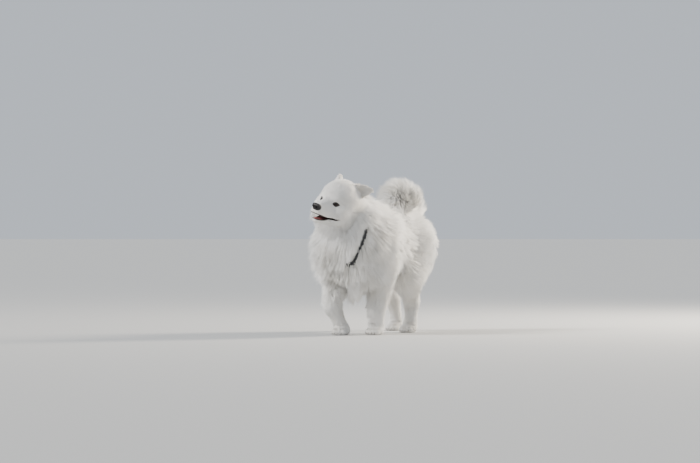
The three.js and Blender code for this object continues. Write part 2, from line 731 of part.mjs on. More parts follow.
function lockMesh({ way, wide, thick }) {
  const at = (t) => {
    const f = t * (way.length - 1);
    const i = Math.min(way.length - 2, Math.floor(f));
    return {
      at: way[i].at.clone().lerp(way[i + 1].at, f - i),
      out: way[i].out.clone().lerp(way[i + 1].out, f - i).normalize(),
      along: way[i + 1].at.clone().sub(way[i].at).normalize(),
    };
  };
  const positions = [];
  const triangles = [];
  BLADE.forEach(([t, share]) => {
    const { at: place, out, along } = at(t);
    const side = along.clone().cross(out).normalize();
    const up = side.clone().cross(along);
    const half = (share * wide) / 2;
    for (const [s, u] of [[half, 0], [0, share * thick], [-half, 0]])
      positions.push(...place.clone().addScaledVector(side, s).addScaledVector(up, u).toArray());
  });
  positions.push(...at(1).at.toArray());
  const fours = [];
  for (let a = 0; a < 3 * (BLADE.length - 1); a += 3) {
    const b = a + 3;
    triangles.push(a, b + 1, a + 1, a, b, b + 1, a + 1, b + 2, a + 2, a + 1, b + 1, b + 2);
    triangles.push(a, a + 2, b + 2, a, b + 2, b);
    fours.push([a, a + 1, a + 2, b + 2], [a, a + 1, b + 2, b + 1], [a, b, b + 1, b + 2]);
  }
  const last = 3 * (BLADE.length - 1);
  for (let j = 0; j < 3; j++) triangles.push(last + j, last + 3, last + ((j + 1) % 3));
  triangles.push(0, 1, 2);
  fours.push([last, last + 1, last + 2, last + 3]);
  return { positions, triangles, fours };
}
const lockSolid = (lock, grown) => solidOf(grown ? swollen(lockMesh(lock), grown) : lockMesh(lock));

// Whether a lock, and the same one grown, is nowhere folded through itself:
// each of the wedges that fill it is the right way out
function unfolded(lock) {
  const mesh = lockMesh(lock);
  const whole = [mesh, swollen(mesh, GROWN)].every(({ positions }) => {
    const at = (v) => point(positions[3 * v], positions[3 * v + 1], positions[3 * v + 2]);
    return mesh.fours.every((four) => {
      const [a, b, c, d] = four.map(at);
      return b.sub(a).cross(c.sub(a)).dot(d.sub(a)) < -LEAST_WEDGE;
    });
  });
  return whole && lockSolid(lock).subtract(lockSolid(lock, GROWN)).volume() < 0.005;
}

// Which sub-part a place on the core belongs to
const legNames = Object.keys(legs);
function owner(p) {
  if (insideBy(headRegion, p) > 0) return "head";
  if (insideBy(neckRegion, p) > 0) return "neck";
  if (insideBy(tailRegion, p) > 0) return "tail";
  return legNames.find((name) => insideBy(legRegion(name), p) > 0) ?? "torso";
}

// Roots in staggered rows round an axis, each where a ray from the axis leaves the core
const locks = {};
function sow({ axis, rows, from = 0, to = 1, each, angles = [0, 360], part, ...more }) {
  const { on = trunkDistance, among = trunkElements, ...style } = more;
  const curve = axis.length > 2 ? new THREE.CatmullRomCurve3(axis) : new THREE.LineCurve3(...axis);
  for (let row = 0; row < rows; row++) {
    const share = rows > 1 ? from + ((to - from) * row) / (rows - 1) : (from + to) / 2;
    const middle = curve.getPointAt(share);
    const ahead = curve.getTangentAt(share);
    const up = point(0, 0, 1).addScaledVector(ahead, -ahead.z);
    if (up.length() < 0.3) up.set(0, -1, 0).addScaledVector(ahead, ahead.y);
    up.normalize();
    const side = up.clone().cross(ahead);
    const whole = angles[1] - angles[0] >= 359;
    for (let i = 0; i < each; i++) {
      const step = (angles[1] - angles[0]) / (whole ? each : Math.max(1, each - 1));
      const turned = angles[0] + step * (i + (row % 2 ? 0.5 : 0) + chance(-0.16, 0.16));
      const angle = THREE.MathUtils.degToRad(turned);
      const ray = up.clone().multiplyScalar(Math.cos(angle)).addScaledVector(side, Math.sin(angle));
      const start = middle.clone().addScaledVector(ahead, chance(-6, 6));
      let [near, far] = [0, 400];
      for (let k = 0; k < 24; k++) {
        const half = (near + far) / 2;
        const q = start.clone().addScaledVector(ray, half);
        if (on(q.x, q.y, q.z) < 0) near = half;
        else far = half;
      }
      const root = start.addScaledVector(ray, near);
      const name = part ?? owner(root);
      const lock = makeLock(on, among, root, style);
      for (let tries = 0; tries < 8 && !unfolded(lock); tries++) {
        lock.wide *= 0.9;
        lock.thick *= 1.06;
      }
      if (unfolded(lock) && clear(lock)) (locks[name] ??= []).push(lock);
    }
  }
}

// A lock isn't grown where it would hide the strap that shows on the chest,
// run into the face, or reach the floor
const shownStrap = strapWay.filter((p) => p.x > 18 && p.y < -250 && p.z < 450);
const faceMiddle = inHead(80, 0, -10);
function clear({ way, wide, even }) {
  return even && way.every(
    ({ at, t }) =>
      at.z > 9 &&
      shownStrap.every((p) => p.distanceTo(at) > 12 + wide * 0.42) &&
      at.distanceTo(faceMiddle) > 84,
  );
}

const bodyLock = { long: 195, wide: 118, thick: 15, sunk: 9, rise: 1 };
const spine = [point(0, -130, 400), point(0, 20, 402), point(0, 270, 420)];
sow({ ...bodyLock, axis: spine, rows: 5, each: 6, angles: [-112, 112] });
const belly = [point(0, -150, 380), point(0, 90, 385)];
sow({ ...bodyLock, long: 130, axis: belly, rows: 2, each: 2, angles: [155, 205] });
const chest = [point(0, -180, 430), point(0, -180, 270)];
sow({ ...bodyLock, long: 160, wide: 108, axis: chest, rows: 2, each: 5, angles: [-80, 80] });
// Ruff
const nape = [inHead(-62, 0, -10), point(0, -190, 440)];
sow({ ...bodyLock, long: 170, wide: 112, axis: nape, rows: 3, from: 0.1, to: 0.9, each: 7 });
// Breeches
const rump = [point(0, 215, 440), point(0, 215, 280)];
sow({ ...bodyLock, long: 140, wide: 92, axis: rump, rows: 2, each: 4, angles: [120, 240] });
// Tail plume
const plumeAxis = tailCurve.slice(1).map(([p]) => p);
const plume = { part: "tail", on: tailDistance, among: tailElements, axis: plumeAxis };
sow({ ...bodyLock, ...plume, rows: 5, from: 0.05, to: 0.88, each: 4, long: 130, wide: 74, thick: 13 });
// Feathers of the legs
for (const name of legNames) {
  const leg = legs[name];
  const shaft = [leg.elbow, leg.wrist];
  const feather = { ...bodyLock, long: 104, wide: 66, thick: 10, sunk: 6 };
  sow({ ...feather, part: name, axis: shaft, rows: 2, from: 0.15, to: 0.66, each: 4 });
}
// Cheeks
const cheeks = [inHead(-12, 0, -10), inHead(6, 0, -14)];
sow({ ...bodyLock, axis: cheeks, rows: 2, each: 8, long: 100, wide: 70, thick: 11, sunk: 7 });

const withLocks = (solid, name, grown = 0) =>
  (locks[name] ?? []).reduce((all, lock) => all.add(lockSolid(lock, grown)), solid);

// Each sub-part as it is, and grown a little to be cut from those below it
const headBox = { distance: trunkDistance, low: point(-260, -540, 380), high: point(180, -180, 740) };
const plans = {
  head: [
    { ...headBox, cell: 13.5, keep: [headRegion], before: faceRegion },
    { ...headBox, cell: 36, keep: [headRegion], behind: faceRegion },
  ],
  neck: [
    {
      distance: trunkDistance,
      low: point(-260, -460, 310),
      high: point(240, -60, 760),
      cell: 52,
      keep: [neckRegion],
      leave: [headRegion],
    },
  ],
  torso: [
    {
      distance: trunkDistance,
      low: point(-260, -440, 130),
      high: point(260, 480, 640),
      cell: 58,
      leave: [headRegion, neckRegion, ...legNames.map(legRegion), tailRegion],
    },
  ],
  tail: [
    {
      distance: tailDistance,
      low: point(-120, -60, 440),
      high: point(160, 440, 720),
      cell: 30,
      leave: [region([point(0, 298, 516), point(0, -0.45, -0.9)], [point(0, 262, 0), point(0, 1, 0)])],
    },
  ],
};
for (const name of legNames) {
  const box = new THREE.Box3().setFromPoints(Object.values(legs[name])).expandByVector(point(90, 110, 0));
  const mine = { distance: trunkDistance, keep: [legRegion(name)], stand: true };
  plans[name] = [
    {
      ...mine,
      low: box.min.clone().setZ(20),
      high: box.max.clone().setZ(400),
      cell: 26,
      leave: [pawRegion(name)],
    },
  ];
  const foot = legs[name].foot;
  plans["paw_" + name] = [
    {
      ...mine,
      low: foot.clone().add(point(-70, -90, -14)),
      high: foot.clone().add(point(70, 90, 80)),
      cell: 13.5,
      keep: [legRegion(name), pawRegion(name)],
    },
  ];
}
function build(name, grown = 0) {
  const cores = plans[name].map((plan) => core({ ...plan, grown }));
  return withLocks(cores.reduce((all, one) => all.add(one)), name, grown);
}

const solids = {};
const grownSolids = {};
const cutBy = (solid, others) => others.reduce((left, other) => left.subtract(other), solid);
const collar = (grown) => {
  const tab = strapBlock(COLLAR.ringAt, [13, 12, 8], 6.3, -2, grown);
  const slide = strapBlock(COLLAR.slideAt, [12, 27, 9], 0, 0, grown);
  return { strap: strap(grown), ring: ring(grown), tab, slide };
};
const { strap: band, ring: loop, tab, slide } = collar(0);
solids.collar_strap = band;
solids.collar_ring = loop;
solids.collar_slide = slide.subtract(strap(GAP));
solids.collar_tab = tab.subtract(ring(GAP)).subtract(strap(GAP));
const collarGrown = Object.values(collar(GROWN)).reduce((all, one) => all.add(one));

let head = build("head");
for (const side of [1, -1]) {
  const { centre } = eyePlace(side);
  head = head.add(ball(centre, EYE.radius + EYE.lid, 2));
  head = head.subtract(almond(side)).subtract(ball(centre, EYE.radius + GAP, 2));
  solids[side > 0 ? "eye_left" : "eye_right"] = ball(centre, EYE.radius, 2);
}
solids.nose = nosePad(0).subtract(nostril(1)).subtract(nostril(-1));
solids.lip_upper = lip(false);
solids.lip_lower = largest(lip(true).subtract(lip(false, GAP)));
solids.tongue = tongue();
const inHeadCuts = [mouthWedge(), nosePad(GAP), lip(false, GAP), lip(true, GAP), tongue(GAP), collarGrown];
solids.head = largest(cutBy(head, inHeadCuts));
const above = [build("head", GROWN)];
for (const [name, shape] of Object.entries(EARS)) {
  solids[name] = largest(cutBy(ear(shape), above));
}
above.push(...Object.values(EARS).map((shape) => ear(shape, GROWN)), collarGrown);
for (const name of ["neck", "tail", "torso", "paw_foreleg_left", "paw_foreleg_right"]) {
  solids[name] = largest(cutBy(build(name), above));
  above.push(build(name, GROWN));
}
for (const name of ["paw_hindleg_left", "paw_hindleg_right", ...legNames]) {
  solids[name] = largest(cutBy(build(name), above));
  above.push(build(name, GROWN));
}

// Collapses short edges that joins and cuts leave, wherever the surface hardly moves by it
function slimmed({ positions, triangles }, longest, drift) {
  const place = (v) => point(positions[3 * v], positions[3 * v + 1], positions[3 * v + 2]);
  const places = Array.from({ length: positions.length / 3 }, (_, v) => place(v));
  const count = triangles.length / 3;
  const faces = Array.from({ length: count }, (_, f) => [...triangles.slice(3 * f, 3 * f + 3)]);
  const around = places.map(() => new Set());
  faces.forEach((face, f) => face.forEach((v) => around[v].add(f)));
  const neighbours = (v) => new Set([...around[v]].flatMap((f) => faces[f]).filter((w) => w !== v));
  const normalOf = ([a, b, c]) => b.clone().sub(a).cross(c.clone().sub(a));
  const moved = places.map(() => 0);
  const fits = (from, to) => {
    if (!around[from].size || !around[to].size) return false;
    const near = neighbours(to);
    if ([...neighbours(from)].filter((v) => near.has(v)).length !== 2) return false;
    const tiny = places[from].distanceTo(places[to]) < drift / 4;
    let furthest = moved[from];
    const held = [...around[from]].every((f) => {
      if (faces[f].includes(to)) return true;
      const before = normalOf(faces[f].map((v) => places[v]));
      const after = normalOf(faces[f].map((v) => places[v === from ? to : v]));
      const size = before.length();
      if (tiny || size < 1e-6) return tiny || after.length() > size;
      if (before.dot(after) < 0.5 * size * after.length() || after.length() < 0.02) return false;
      const off = Math.abs(places[to].clone().sub(places[from]).dot(before)) / size;
      furthest = Math.max(furthest, moved[from] + off);
      return furthest < drift;
    });
    if (held) moved[to] = Math.max(moved[to], furthest);
    return held;
  };
  const collapse = (from, to) => {
    for (const f of around[from]) {
      if (faces[f].includes(to)) {
        faces[f].forEach((v) => v !== from && around[v].delete(f));
        faces[f] = null;
      } else {
        faces[f] = faces[f].map((v) => (v === from ? to : v));
        around[to].add(f);
      }
    }
    around[from].clear();
  };
  for (let pass = 0; pass < 3; pass++) {
    const edges = faces
      .filter(Boolean)
      .flatMap(([a, b, c]) => [[a, b], [b, c], [c, a]])
      .filter(([a, b]) => a < b && places[a].distanceTo(places[b]) < longest)
      .sort(([a, b], [c, d]) => places[a].distanceTo(places[b]) - places[c].distanceTo(places[d]));
    for (const [a, b] of edges) {
      if (!around[a].size || !around[b].size || ![...around[a]].some((f) => around[b].has(f))) continue;
      if (fits(a, b)) collapse(a, b);
      else if (fits(b, a)) collapse(b, a);
    }
  }
  // Where two stretches of the surface touch at a corner, both are drawn back from it
  const kept = places.map((_, v) => v).filter((v) => around[v].size);
  const shared = new Map();
  for (const v of kept) {
    const key = places[v].toArray().map((n) => Math.round(n * 1000)).join();
    shared.set(key, [...(shared.get(key) ?? []), v]);
  }
  for (const v of [...shared.values()].filter((same) => same.length > 1).flat()) {
    const fan = [...neighbours(v)].map((w) => places[w]);
    const middle = fan.reduce((sum, p) => sum.add(p), point(0, 0, 0)).divideScalar(fan.length);
    places[v].add(middle.sub(places[v]).setLength(0.03));
  }
  const number = new Map(kept.map((v, i) => [v, i]));
  return {
    positions: kept.flatMap((v) => places[v].toArray()),
    triangles: faces.filter(Boolean).flatMap((face) => face.map((v) => number.get(v))),
  };
}

// Colour, roughness and metalness of each kind of sub-part
const finishes = {
  coat: [0xf0ece2, 0.85, 0],
  ear: [0xe9dfd0, 0.85, 0],
  paw: [0xebe3d3, 0.85, 0],
  eye: [0x1d130c, 0.15, 0],
  nose: [0x17161a, 0.45, 0],
  lip: [0x1c181a, 0.5, 0],
  tongue: [0xb4646a, 0.45, 0],
  strap: [0x1d1f24, 0.8, 0],
  metal: [0xb8babd, 0.3, 1],
};
function materialOf(name) {
  const [first, second] = name.split("_");
  const worn = ["strap", "tab"].includes(second) ? "strap" : "metal";
  const kind = first === "collar" ? worn : first;
  const [color, roughness, metalness] = finishes[kind] ?? finishes.coat;
  return new THREE.MeshStandardMaterial({ color, roughness, metalness });
}

const dog = new THREE.Group();
for (const [name, solid] of Object.entries(solids)) {
  const made = solid.getMesh();
  const slim = slimmed({ positions: made.vertProperties, triangles: made.triVerts }, LONGEST, DRIFT);
  const geometry = new THREE.BufferGeometry();
  geometry.setAttribute("position", new THREE.Float32BufferAttribute(slim.positions, 3));
  geometry.setIndex(slim.triangles);
  const mesh = new THREE.Mesh(geometry, materialOf(name));
  mesh.name = name;
  mesh.position.copy(STANCE);
  dog.add(mesh);
}

export default dog;
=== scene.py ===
# A Samoyed dog, walking with its head tilted, and its loose collar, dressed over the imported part.
# The shape functions work in millimetres in the dog's own layout: +Z up, +Y from head to tail and
# +X its left. Blender's objects are in metres, in the part's frame.
import math

import bmesh
import bpy
import numpy as np
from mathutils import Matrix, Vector, kdtree


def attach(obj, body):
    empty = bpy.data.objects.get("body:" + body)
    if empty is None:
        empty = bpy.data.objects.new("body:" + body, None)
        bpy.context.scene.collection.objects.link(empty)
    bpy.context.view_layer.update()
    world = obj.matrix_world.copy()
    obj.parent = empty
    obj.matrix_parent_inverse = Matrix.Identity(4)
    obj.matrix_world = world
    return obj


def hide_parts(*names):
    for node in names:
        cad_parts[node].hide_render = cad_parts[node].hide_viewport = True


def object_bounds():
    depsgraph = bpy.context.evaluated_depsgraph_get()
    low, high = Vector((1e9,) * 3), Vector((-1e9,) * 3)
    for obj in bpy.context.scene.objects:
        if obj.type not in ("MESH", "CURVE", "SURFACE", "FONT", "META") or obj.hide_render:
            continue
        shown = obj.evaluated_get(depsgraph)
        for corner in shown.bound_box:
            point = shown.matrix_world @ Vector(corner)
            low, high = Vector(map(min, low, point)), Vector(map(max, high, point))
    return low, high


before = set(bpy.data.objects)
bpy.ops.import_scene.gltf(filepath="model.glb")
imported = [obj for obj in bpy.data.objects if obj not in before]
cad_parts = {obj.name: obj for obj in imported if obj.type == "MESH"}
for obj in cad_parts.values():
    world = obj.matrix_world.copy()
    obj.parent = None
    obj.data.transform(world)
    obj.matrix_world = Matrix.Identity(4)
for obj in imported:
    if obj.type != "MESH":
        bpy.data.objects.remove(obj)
cad_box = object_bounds()

STANCE = np.array([1.8, 55.0, 0.0])  # the layout's own origin, seen from the part's
SKULL = np.array([-31.0, -347.0, 571.0])
HEAD_YAW, HEAD_PITCH, HEAD_ROLL = 3.5, 7.0, 20.0  # degrees
HEAD_REACH = 240.0  # past the ears and the nose from the skull's middle
FAR = 1e3  # further than anything on the dog
SEED = 20417
rng = np.random.default_rng(SEED)


def metres(points):
    return (np.asarray(points, float) + STANCE) / 1000.0


def in_layout(places):
    return places * 1000 - STANCE


def length(vectors):
    return np.linalg.norm(vectors, axis=-1)


def unit(vectors):
    return vectors / np.maximum(length(vectors), 1e-9)[..., None]


def square_to(axis, vectors):
    return unit(vectors - axis * (vectors * axis).sum(-1, keepdims=True))


def ramp(values, start, width):
    """0 up to start and 1 from a width past it; a width below 0 runs the other way."""
    return np.clip((values - start) / width, 0, 1)


def round_turn(sides):
    return np.linspace(0, 2 * math.pi, sides, endpoint=False)


def head_axes():
    """Rows: towards the nose, to the dog's left, and up, each in the layout's axes."""
    yaw, pitch, roll = (math.radians(a) for a in (HEAD_YAW, HEAD_PITCH, HEAD_ROLL))
    level = np.array([math.cos(yaw), -math.sin(yaw), 0.0])
    forward = np.array([-math.sin(yaw) * math.cos(pitch), -math.cos(yaw) * math.cos(pitch), math.sin(pitch)])
    left = level * math.cos(roll) - np.cross(forward, level) * math.sin(roll)
    return np.array([forward, left, np.cross(forward, left)])


HEAD = head_axes()


def to_head(points):
    return (points - SKULL) @ HEAD.T


def from_head(local):
    return SKULL + np.asarray(local, float) @ HEAD


def head_way(way):
    return unit(np.asarray(way, float) @ HEAD)


def on_side(side, place):
    """A place or way of the left side (1), or its mirror image on the right (-1)."""
    return np.multiply(place, (1, side, 1))


# The dog's body: eggs and limbs that melt into each other, each with its coat's depth and lie
BARE_FACE = 0.55  # how much of the short face coat's depth is flesh
BARE_FOOT = 0.35
BACKWARD = (0, 0.8, -0.6)
DOWNWARD = (0, 0.3, -1)
LEGS = {
    "foreleg_left": dict(top=(80, -150, 420), elbow=(90, -156, 282), wrist=(82, -172, 114),
                         fetlock=(80, -172, 46), foot=(80, -180, 0)),
    "foreleg_right": dict(top=(-82, -170, 420), elbow=(-102, -200, 284), wrist=(-82, -282, 128),
                          fetlock=(-52, -262, 50), foot=(-42, -266, 0)),
    "hindleg_left": dict(top=(62, 206, 395), elbow=(92, 92, 268), wrist=(87, 172, 138),
                         fetlock=(86, 158, 44), foot=(86, 146, 0)),
    "hindleg_right": dict(top=(-62, 206, 395), elbow=(-92, 196, 268), wrist=(-82, 318, 152),
                          fetlock=(-78, 340, 46), foot=(-77, 332, 0)),
}
FORE = dict(upper=(50, 42), lower=(38, 24), feathers=32, pastern=23)  # radii, and depth of coat
HIND = dict(upper=(84, 56), lower=(46, 20), feathers=20, pastern=19)
TOES = ((-21, 30), (-8, 38), (8, 38), (21, 30))  # across and ahead of the middle of the foot
TAIL = [((0, 282, 492), 27), ((-6, 310, 548), 25), ((-6, 285, 590), 22),
        ((4, 210, 606), 20), ((18, 130, 594), 16), ((32, 70, 566), 11)]
elements = []


def add_element(part, distance, centre, reach, coat, lie, blend):
    elements.append(dict(part=part, distance=distance, centre=centre, reach=reach, coat=coat,
                         lie=unit(np.asarray(lie, float)), blend=blend))


def rod(points, start, end, start_radius, end_radius):
    """Distance to a straight bar with round ends."""
    along = np.subtract(end, start)
    t = np.clip((points - start) @ along / (along @ along), 0, 1)
    return length(points - start - t[:, None] * along) - start_radius - (end_radius - start_radius) * t


def egg(part, centre, radii, coat, lie, turn=None, blend=34, bare=0.0):
    size = np.array(radii, float) + coat * bare
    centre = np.array(centre, float)

    def distance(points):
        local = points - centre
        if turn is not None:
            local = local @ turn.T
        whole, steep = length(local / size), length(local / size**2)
        return np.where(steep < 1e-9, -size.min(), whole * (whole - 1) / np.maximum(steep, 1e-9))

    add_element(part, distance, centre, size.max(), coat * (1 - bare), lie, blend)


def limb(part, start, end, start_radius, end_radius, coat, lie=None, blend=34, bare=0.0):
    start, end = np.array([start, end], float)
    radii = start_radius + coat * bare, end_radius + coat * bare

    def distance(points):
        return rod(points, start, end, *radii)

    reach = math.dist(start, end) / 2 + max(radii)
    lie = end - start if lie is None else lie
    add_element(part, distance, (start + end) / 2, reach, coat * (1 - bare), lie, blend)


def grow_trunk():
    egg("torso", (0, -70, 385), (106, 205, 136), 64, BACKWARD)
    egg("torso", (0, -135, 430), (90, 112, 98), 80, BACKWARD)
    egg("torso", (-4, -205, 365), (102, 78, 106), 84, (0, 0.1, -1))
    egg("torso", (0, 110, 412), (90, 165, 98), 58, (0, 0.85, -0.5))
    egg("torso", (0, 214, 412), (98, 124, 112), 58, BACKWARD)
    limb("neck", (-27, -282, 548), (0, -165, 450), 58, 96, 76)
    egg("neck", (-20, -268, 482), (94, 46, 96), 92, (0, 0.2, -1))


def grow_leg(name, leg):
    build = HIND if name.startswith("hind") else FORE
    limb(name, leg["top"], leg["elbow"], *build["upper"], 50, DOWNWARD)
    limb(name, leg["elbow"], leg["wrist"], *build["lower"], build["feathers"], DOWNWARD, blend=26)
    limb(name, leg["wrist"], leg["fetlock"], build["pastern"], 19, 15, DOWNWARD, blend=16)
    foot = np.array(leg["foot"], float)
    egg(name, foot + (0, 0, 20), (26, 36, 22), 9, DOWNWARD, blend=12, bare=BARE_FOOT)
    for across, ahead in TOES:
        egg(name, foot + (across, -ahead, 12), (9, 15, 12), 5, (0, -0.6, -0.6), blend=5, bare=BARE_FOOT)


def grow_head():
    def face(at, radii, coat, lie, blend, bare=BARE_FACE):
        egg("head", from_head(at), radii, coat, head_way(lie), turn=HEAD, blend=blend, bare=bare)

    def bar(start, end, start_radius, end_radius, coat, blend):
        limb("head", from_head(start), from_head(end), start_radius, end_radius, coat,
             head_way((-1, 0, 0)), blend=blend, bare=BARE_FACE)

    face((-12, 0, 32), (72, 68, 66), 26, (-1, 0, 0.2), 20, bare=0.3)
    face((34, 0, 28), (38, 42, 34), 12, (-1, 0, 0.3), 18)
    face((-26, 0, -34), (54, 56, 50), 32, (-1, 0, -0.6), 24, bare=0)
    face((-64, 0, -22), (40, 88, 72), 70, (-0.6, 0, -0.8), 24, bare=0)
    for side in (1, -1):
        face((52, side * 26, 30), (16, 14, 10), 6, (-1, side * 0.4, 0.3), 12)
        face((14, side * 42, -24), (44, 32, 42), 28, (-1, side * 0.5, -0.4), 18, bare=0.2)
        bar((70, side * 17, -34), (129, side * 9, -45), 21, 14, 4, 12)
    bar((56, 0, -14), (126, 0, -33), 36, 19, 4, 14)
    bar((56, 0, 6), (133, 0, -20), 20, 12, 3, 12)
    bar((30, 0, -62), (112, 0, -78), 24, 12, 6, 10)


def grow_tail():
    for i, ((start, start_radius), (end, end_radius)) in enumerate(zip(TAIL, TAIL[1:])):
        limb("tail" if i else "tail_root", start, end, start_radius, end_radius, 76 if i else 56, blend=14)


grow_trunk()
for leg_name, leg in LEGS.items():
    grow_leg(leg_name, leg)
grow_head()
grow_tail()


# Distances: the flesh, and the eyes, mouth and ears worked into it
EYE = dict(radius=15.0, cornea=0.8, lid=1.8, at=(54.5, 33.5, 9.0), gaze=(0.92, 0.38, 0.04),
           wide=31.5, high=16.5, tilt=9.0)
MOUTH = dict(back=36.0, length=118.0, height=-58.0, fall=10.0, open=25.0, smile=9.0, droop=3.5,
             beside=78.0, ahead=170.0)
EAR = dict(wide=64.0, thick=6.5, cup=15.0)
EARS = (dict(root=(-38, 50, 90), tip=(-80, 106, 119), face=(0.8, 0.55, -0.1)),
        dict(root=(-38, -48, 92), tip=(-76, -88, 126), face=(0.8, -0.55, -0.1)))


def smooth_min(a, b, blend):
    mix = np.clip(blend - np.abs(a - b), 0, None) / blend
    return np.minimum(a, b) - mix * mix * blend / 4


def smooth_max(a, b, blend):
    return -smooth_min(-a, -b, blend)


def flesh(points):
    """Distance to the body without its ears, eyes and mouth."""
    nearest = np.full(len(points), FAR)
    for e in elements:
        away = length(points - e["centre"]) - e["reach"]
        close = away < nearest + e["blend"]
        if close.any():
            nearest[close] = smooth_min(nearest[close], e["distance"](points[close]), e["blend"])
    return nearest


def eye_axes(side):
    """Middle of an eyeball, and its axes: outward along the lids, up, and along the gaze."""
    gaze = head_way(on_side(side, EYE["gaze"]))
    outward = square_to(gaze, head_way((0, side, 0)))
    up = np.cross(gaze, outward) * side
    tilt = math.radians(EYE["tilt"])
    right = outward * math.cos(tilt) + up * math.sin(tilt)
    top = up * math.cos(tilt) - outward * math.sin(tilt)
    return from_head(on_side(side, EYE["at"])), right, top, gaze


def lid_opening(across):
    """Half the height of the gap between the lids, for places across it from the eye's middle."""
    return EYE["high"] / 2 * np.clip(1 - (across * 2 / EYE["wide"]) ** 2, 0, 1)


def seen_from_eye(side, points):
    centre, *axes = eye_axes(side)
    local = points - centre
    return *(local @ axis for axis in axes), length(local)  # across, above, ahead and away


def with_eyes(points, distance):
    for side in (1, -1):
        across, above, ahead, away = seen_from_eye(side, points)
        slot = np.maximum(np.abs(above) - lid_opening(across), -ahead)
        lids = smooth_min(distance, away - EYE["radius"] - EYE["lid"], blend=7)
        lids = np.maximum(smooth_max(lids, -slot, blend=1.2), EYE["radius"] + 0.3 - away)
        distance = np.where(away < 3 * EYE["radius"], lids, distance)
    return distance


def mouth_edges(x):
    """Heights of the upper and lower edges of the mouth, which curls up at its corners."""
    t = np.clip((x - MOUTH["back"]) / MOUTH["length"], 0, 1.1)
    smile = MOUTH["smile"] * np.clip(1 - t, 0, 1) ** 4
    droop = MOUTH["droop"] * np.sin(math.pi * np.clip(t * 1.15, 0, 1)) ** 2
    middle = MOUTH["height"] - MOUTH["fall"] * t + smile - droop
    half = 1 + MOUTH["open"] / 2 * t**0.65
    return middle + half, middle - half


def mouth_gap(local):
    """Distance to the wedge of air between the jaws, in the head's own axes."""
    x, z = local[:, 0], local[:, 2]
    upper, lower = mouth_edges(x)
    return np.max([z - upper, lower - z, MOUTH["back"] - x], axis=0)


def in_mouth(local, margin):
    within = (np.abs(local[:, 1]) < MOUTH["beside"]) & (local[:, 0] < MOUTH["ahead"])
    return (mouth_gap(local) < margin) & within


def ear_axes(ear):
    """Root of an ear, its ways up, across and out of its open side, and its length."""
    root, tip = from_head(ear["root"]), from_head(ear["tip"])
    along = unit(tip - root)
    outward = square_to(along, head_way(ear["face"]))
    return root, along, np.cross(along, outward), outward, math.dist(tip, root)


def ear_distance(points, ear):
    root, along, across, outward, long = ear_axes(ear)
    local = points - root
    t = local @ along / long
    inside = np.clip(t, -0.2, 1)
    taper = np.clip(t, 0, 1)
    half = EAR["wide"] / 2 * (1 - taper**1.7) ** 0.8 * (1 - 0.12 * (1 - inside))
    s = (local @ across) / np.maximum(half, 6)
    cup = EAR["cup"] * (1 - inside * 0.6) * (np.clip(s * s, 0, 1) - 0.5)
    plate = np.abs(local @ outward - cup) - EAR["thick"] / 2 * (1 - 0.45 * taper)
    edge = np.max([(np.abs(s) - 1) * half, (t - 1) * long, (-0.25 - t) * long], axis=0)
    return smooth_max(plate * 0.8, edge, blend=4)


def skin_distance(points):
    distance = flesh(points)
    local = to_head(points)
    near = (np.abs(local) < HEAD_REACH).all(axis=1)
    if near.any():
        d, p = distance[near], points[near]
        for ear in EARS:
            d = smooth_min(d, ear_distance(p, ear), blend=10)
        distance[near] = smooth_max(with_eyes(p, d), -mouth_gap(local[near]), blend=3)
    return distance


def slope(distance, points, step):
    """Direction in which the distance grows, from four samples round each point."""
    corners = np.array([(1, 1, 1), (1, -1, -1), (-1, 1, -1), (-1, -1, 1)], float)
    return unit(sum(corner * distance(points + corner * step)[:, None] for corner in corners))


# Surface net: one vertex to each cell of a grid that the surface crosses
def sample_near_surface(distance, low, count, cell, coarse=4, margin=2.2, batch=200000):
    """Grid of distances, exact near the surface and only of the right sign elsewhere."""
    shape = tuple(n // coarse + 2 for n in count)
    axes = [low[a] + np.arange(shape[a]) * cell * coarse for a in range(3)]
    grid = np.stack(np.meshgrid(*axes, indexing="ij"), axis=-1)
    value = distance(grid.reshape(-1, 3)).reshape(shape)
    for axis in range(3):
        value = np.repeat(value, coarse, axis)
    value = value[: count[0], : count[1], : count[2]].copy()
    near = np.argwhere(np.abs(value) < cell * coarse * margin)
    for part in np.array_split(near, max(1, len(near) // batch)):
        value[tuple(part.T)] = distance(low + part * cell)
    return np.where(value == 0, 1e-4, value)


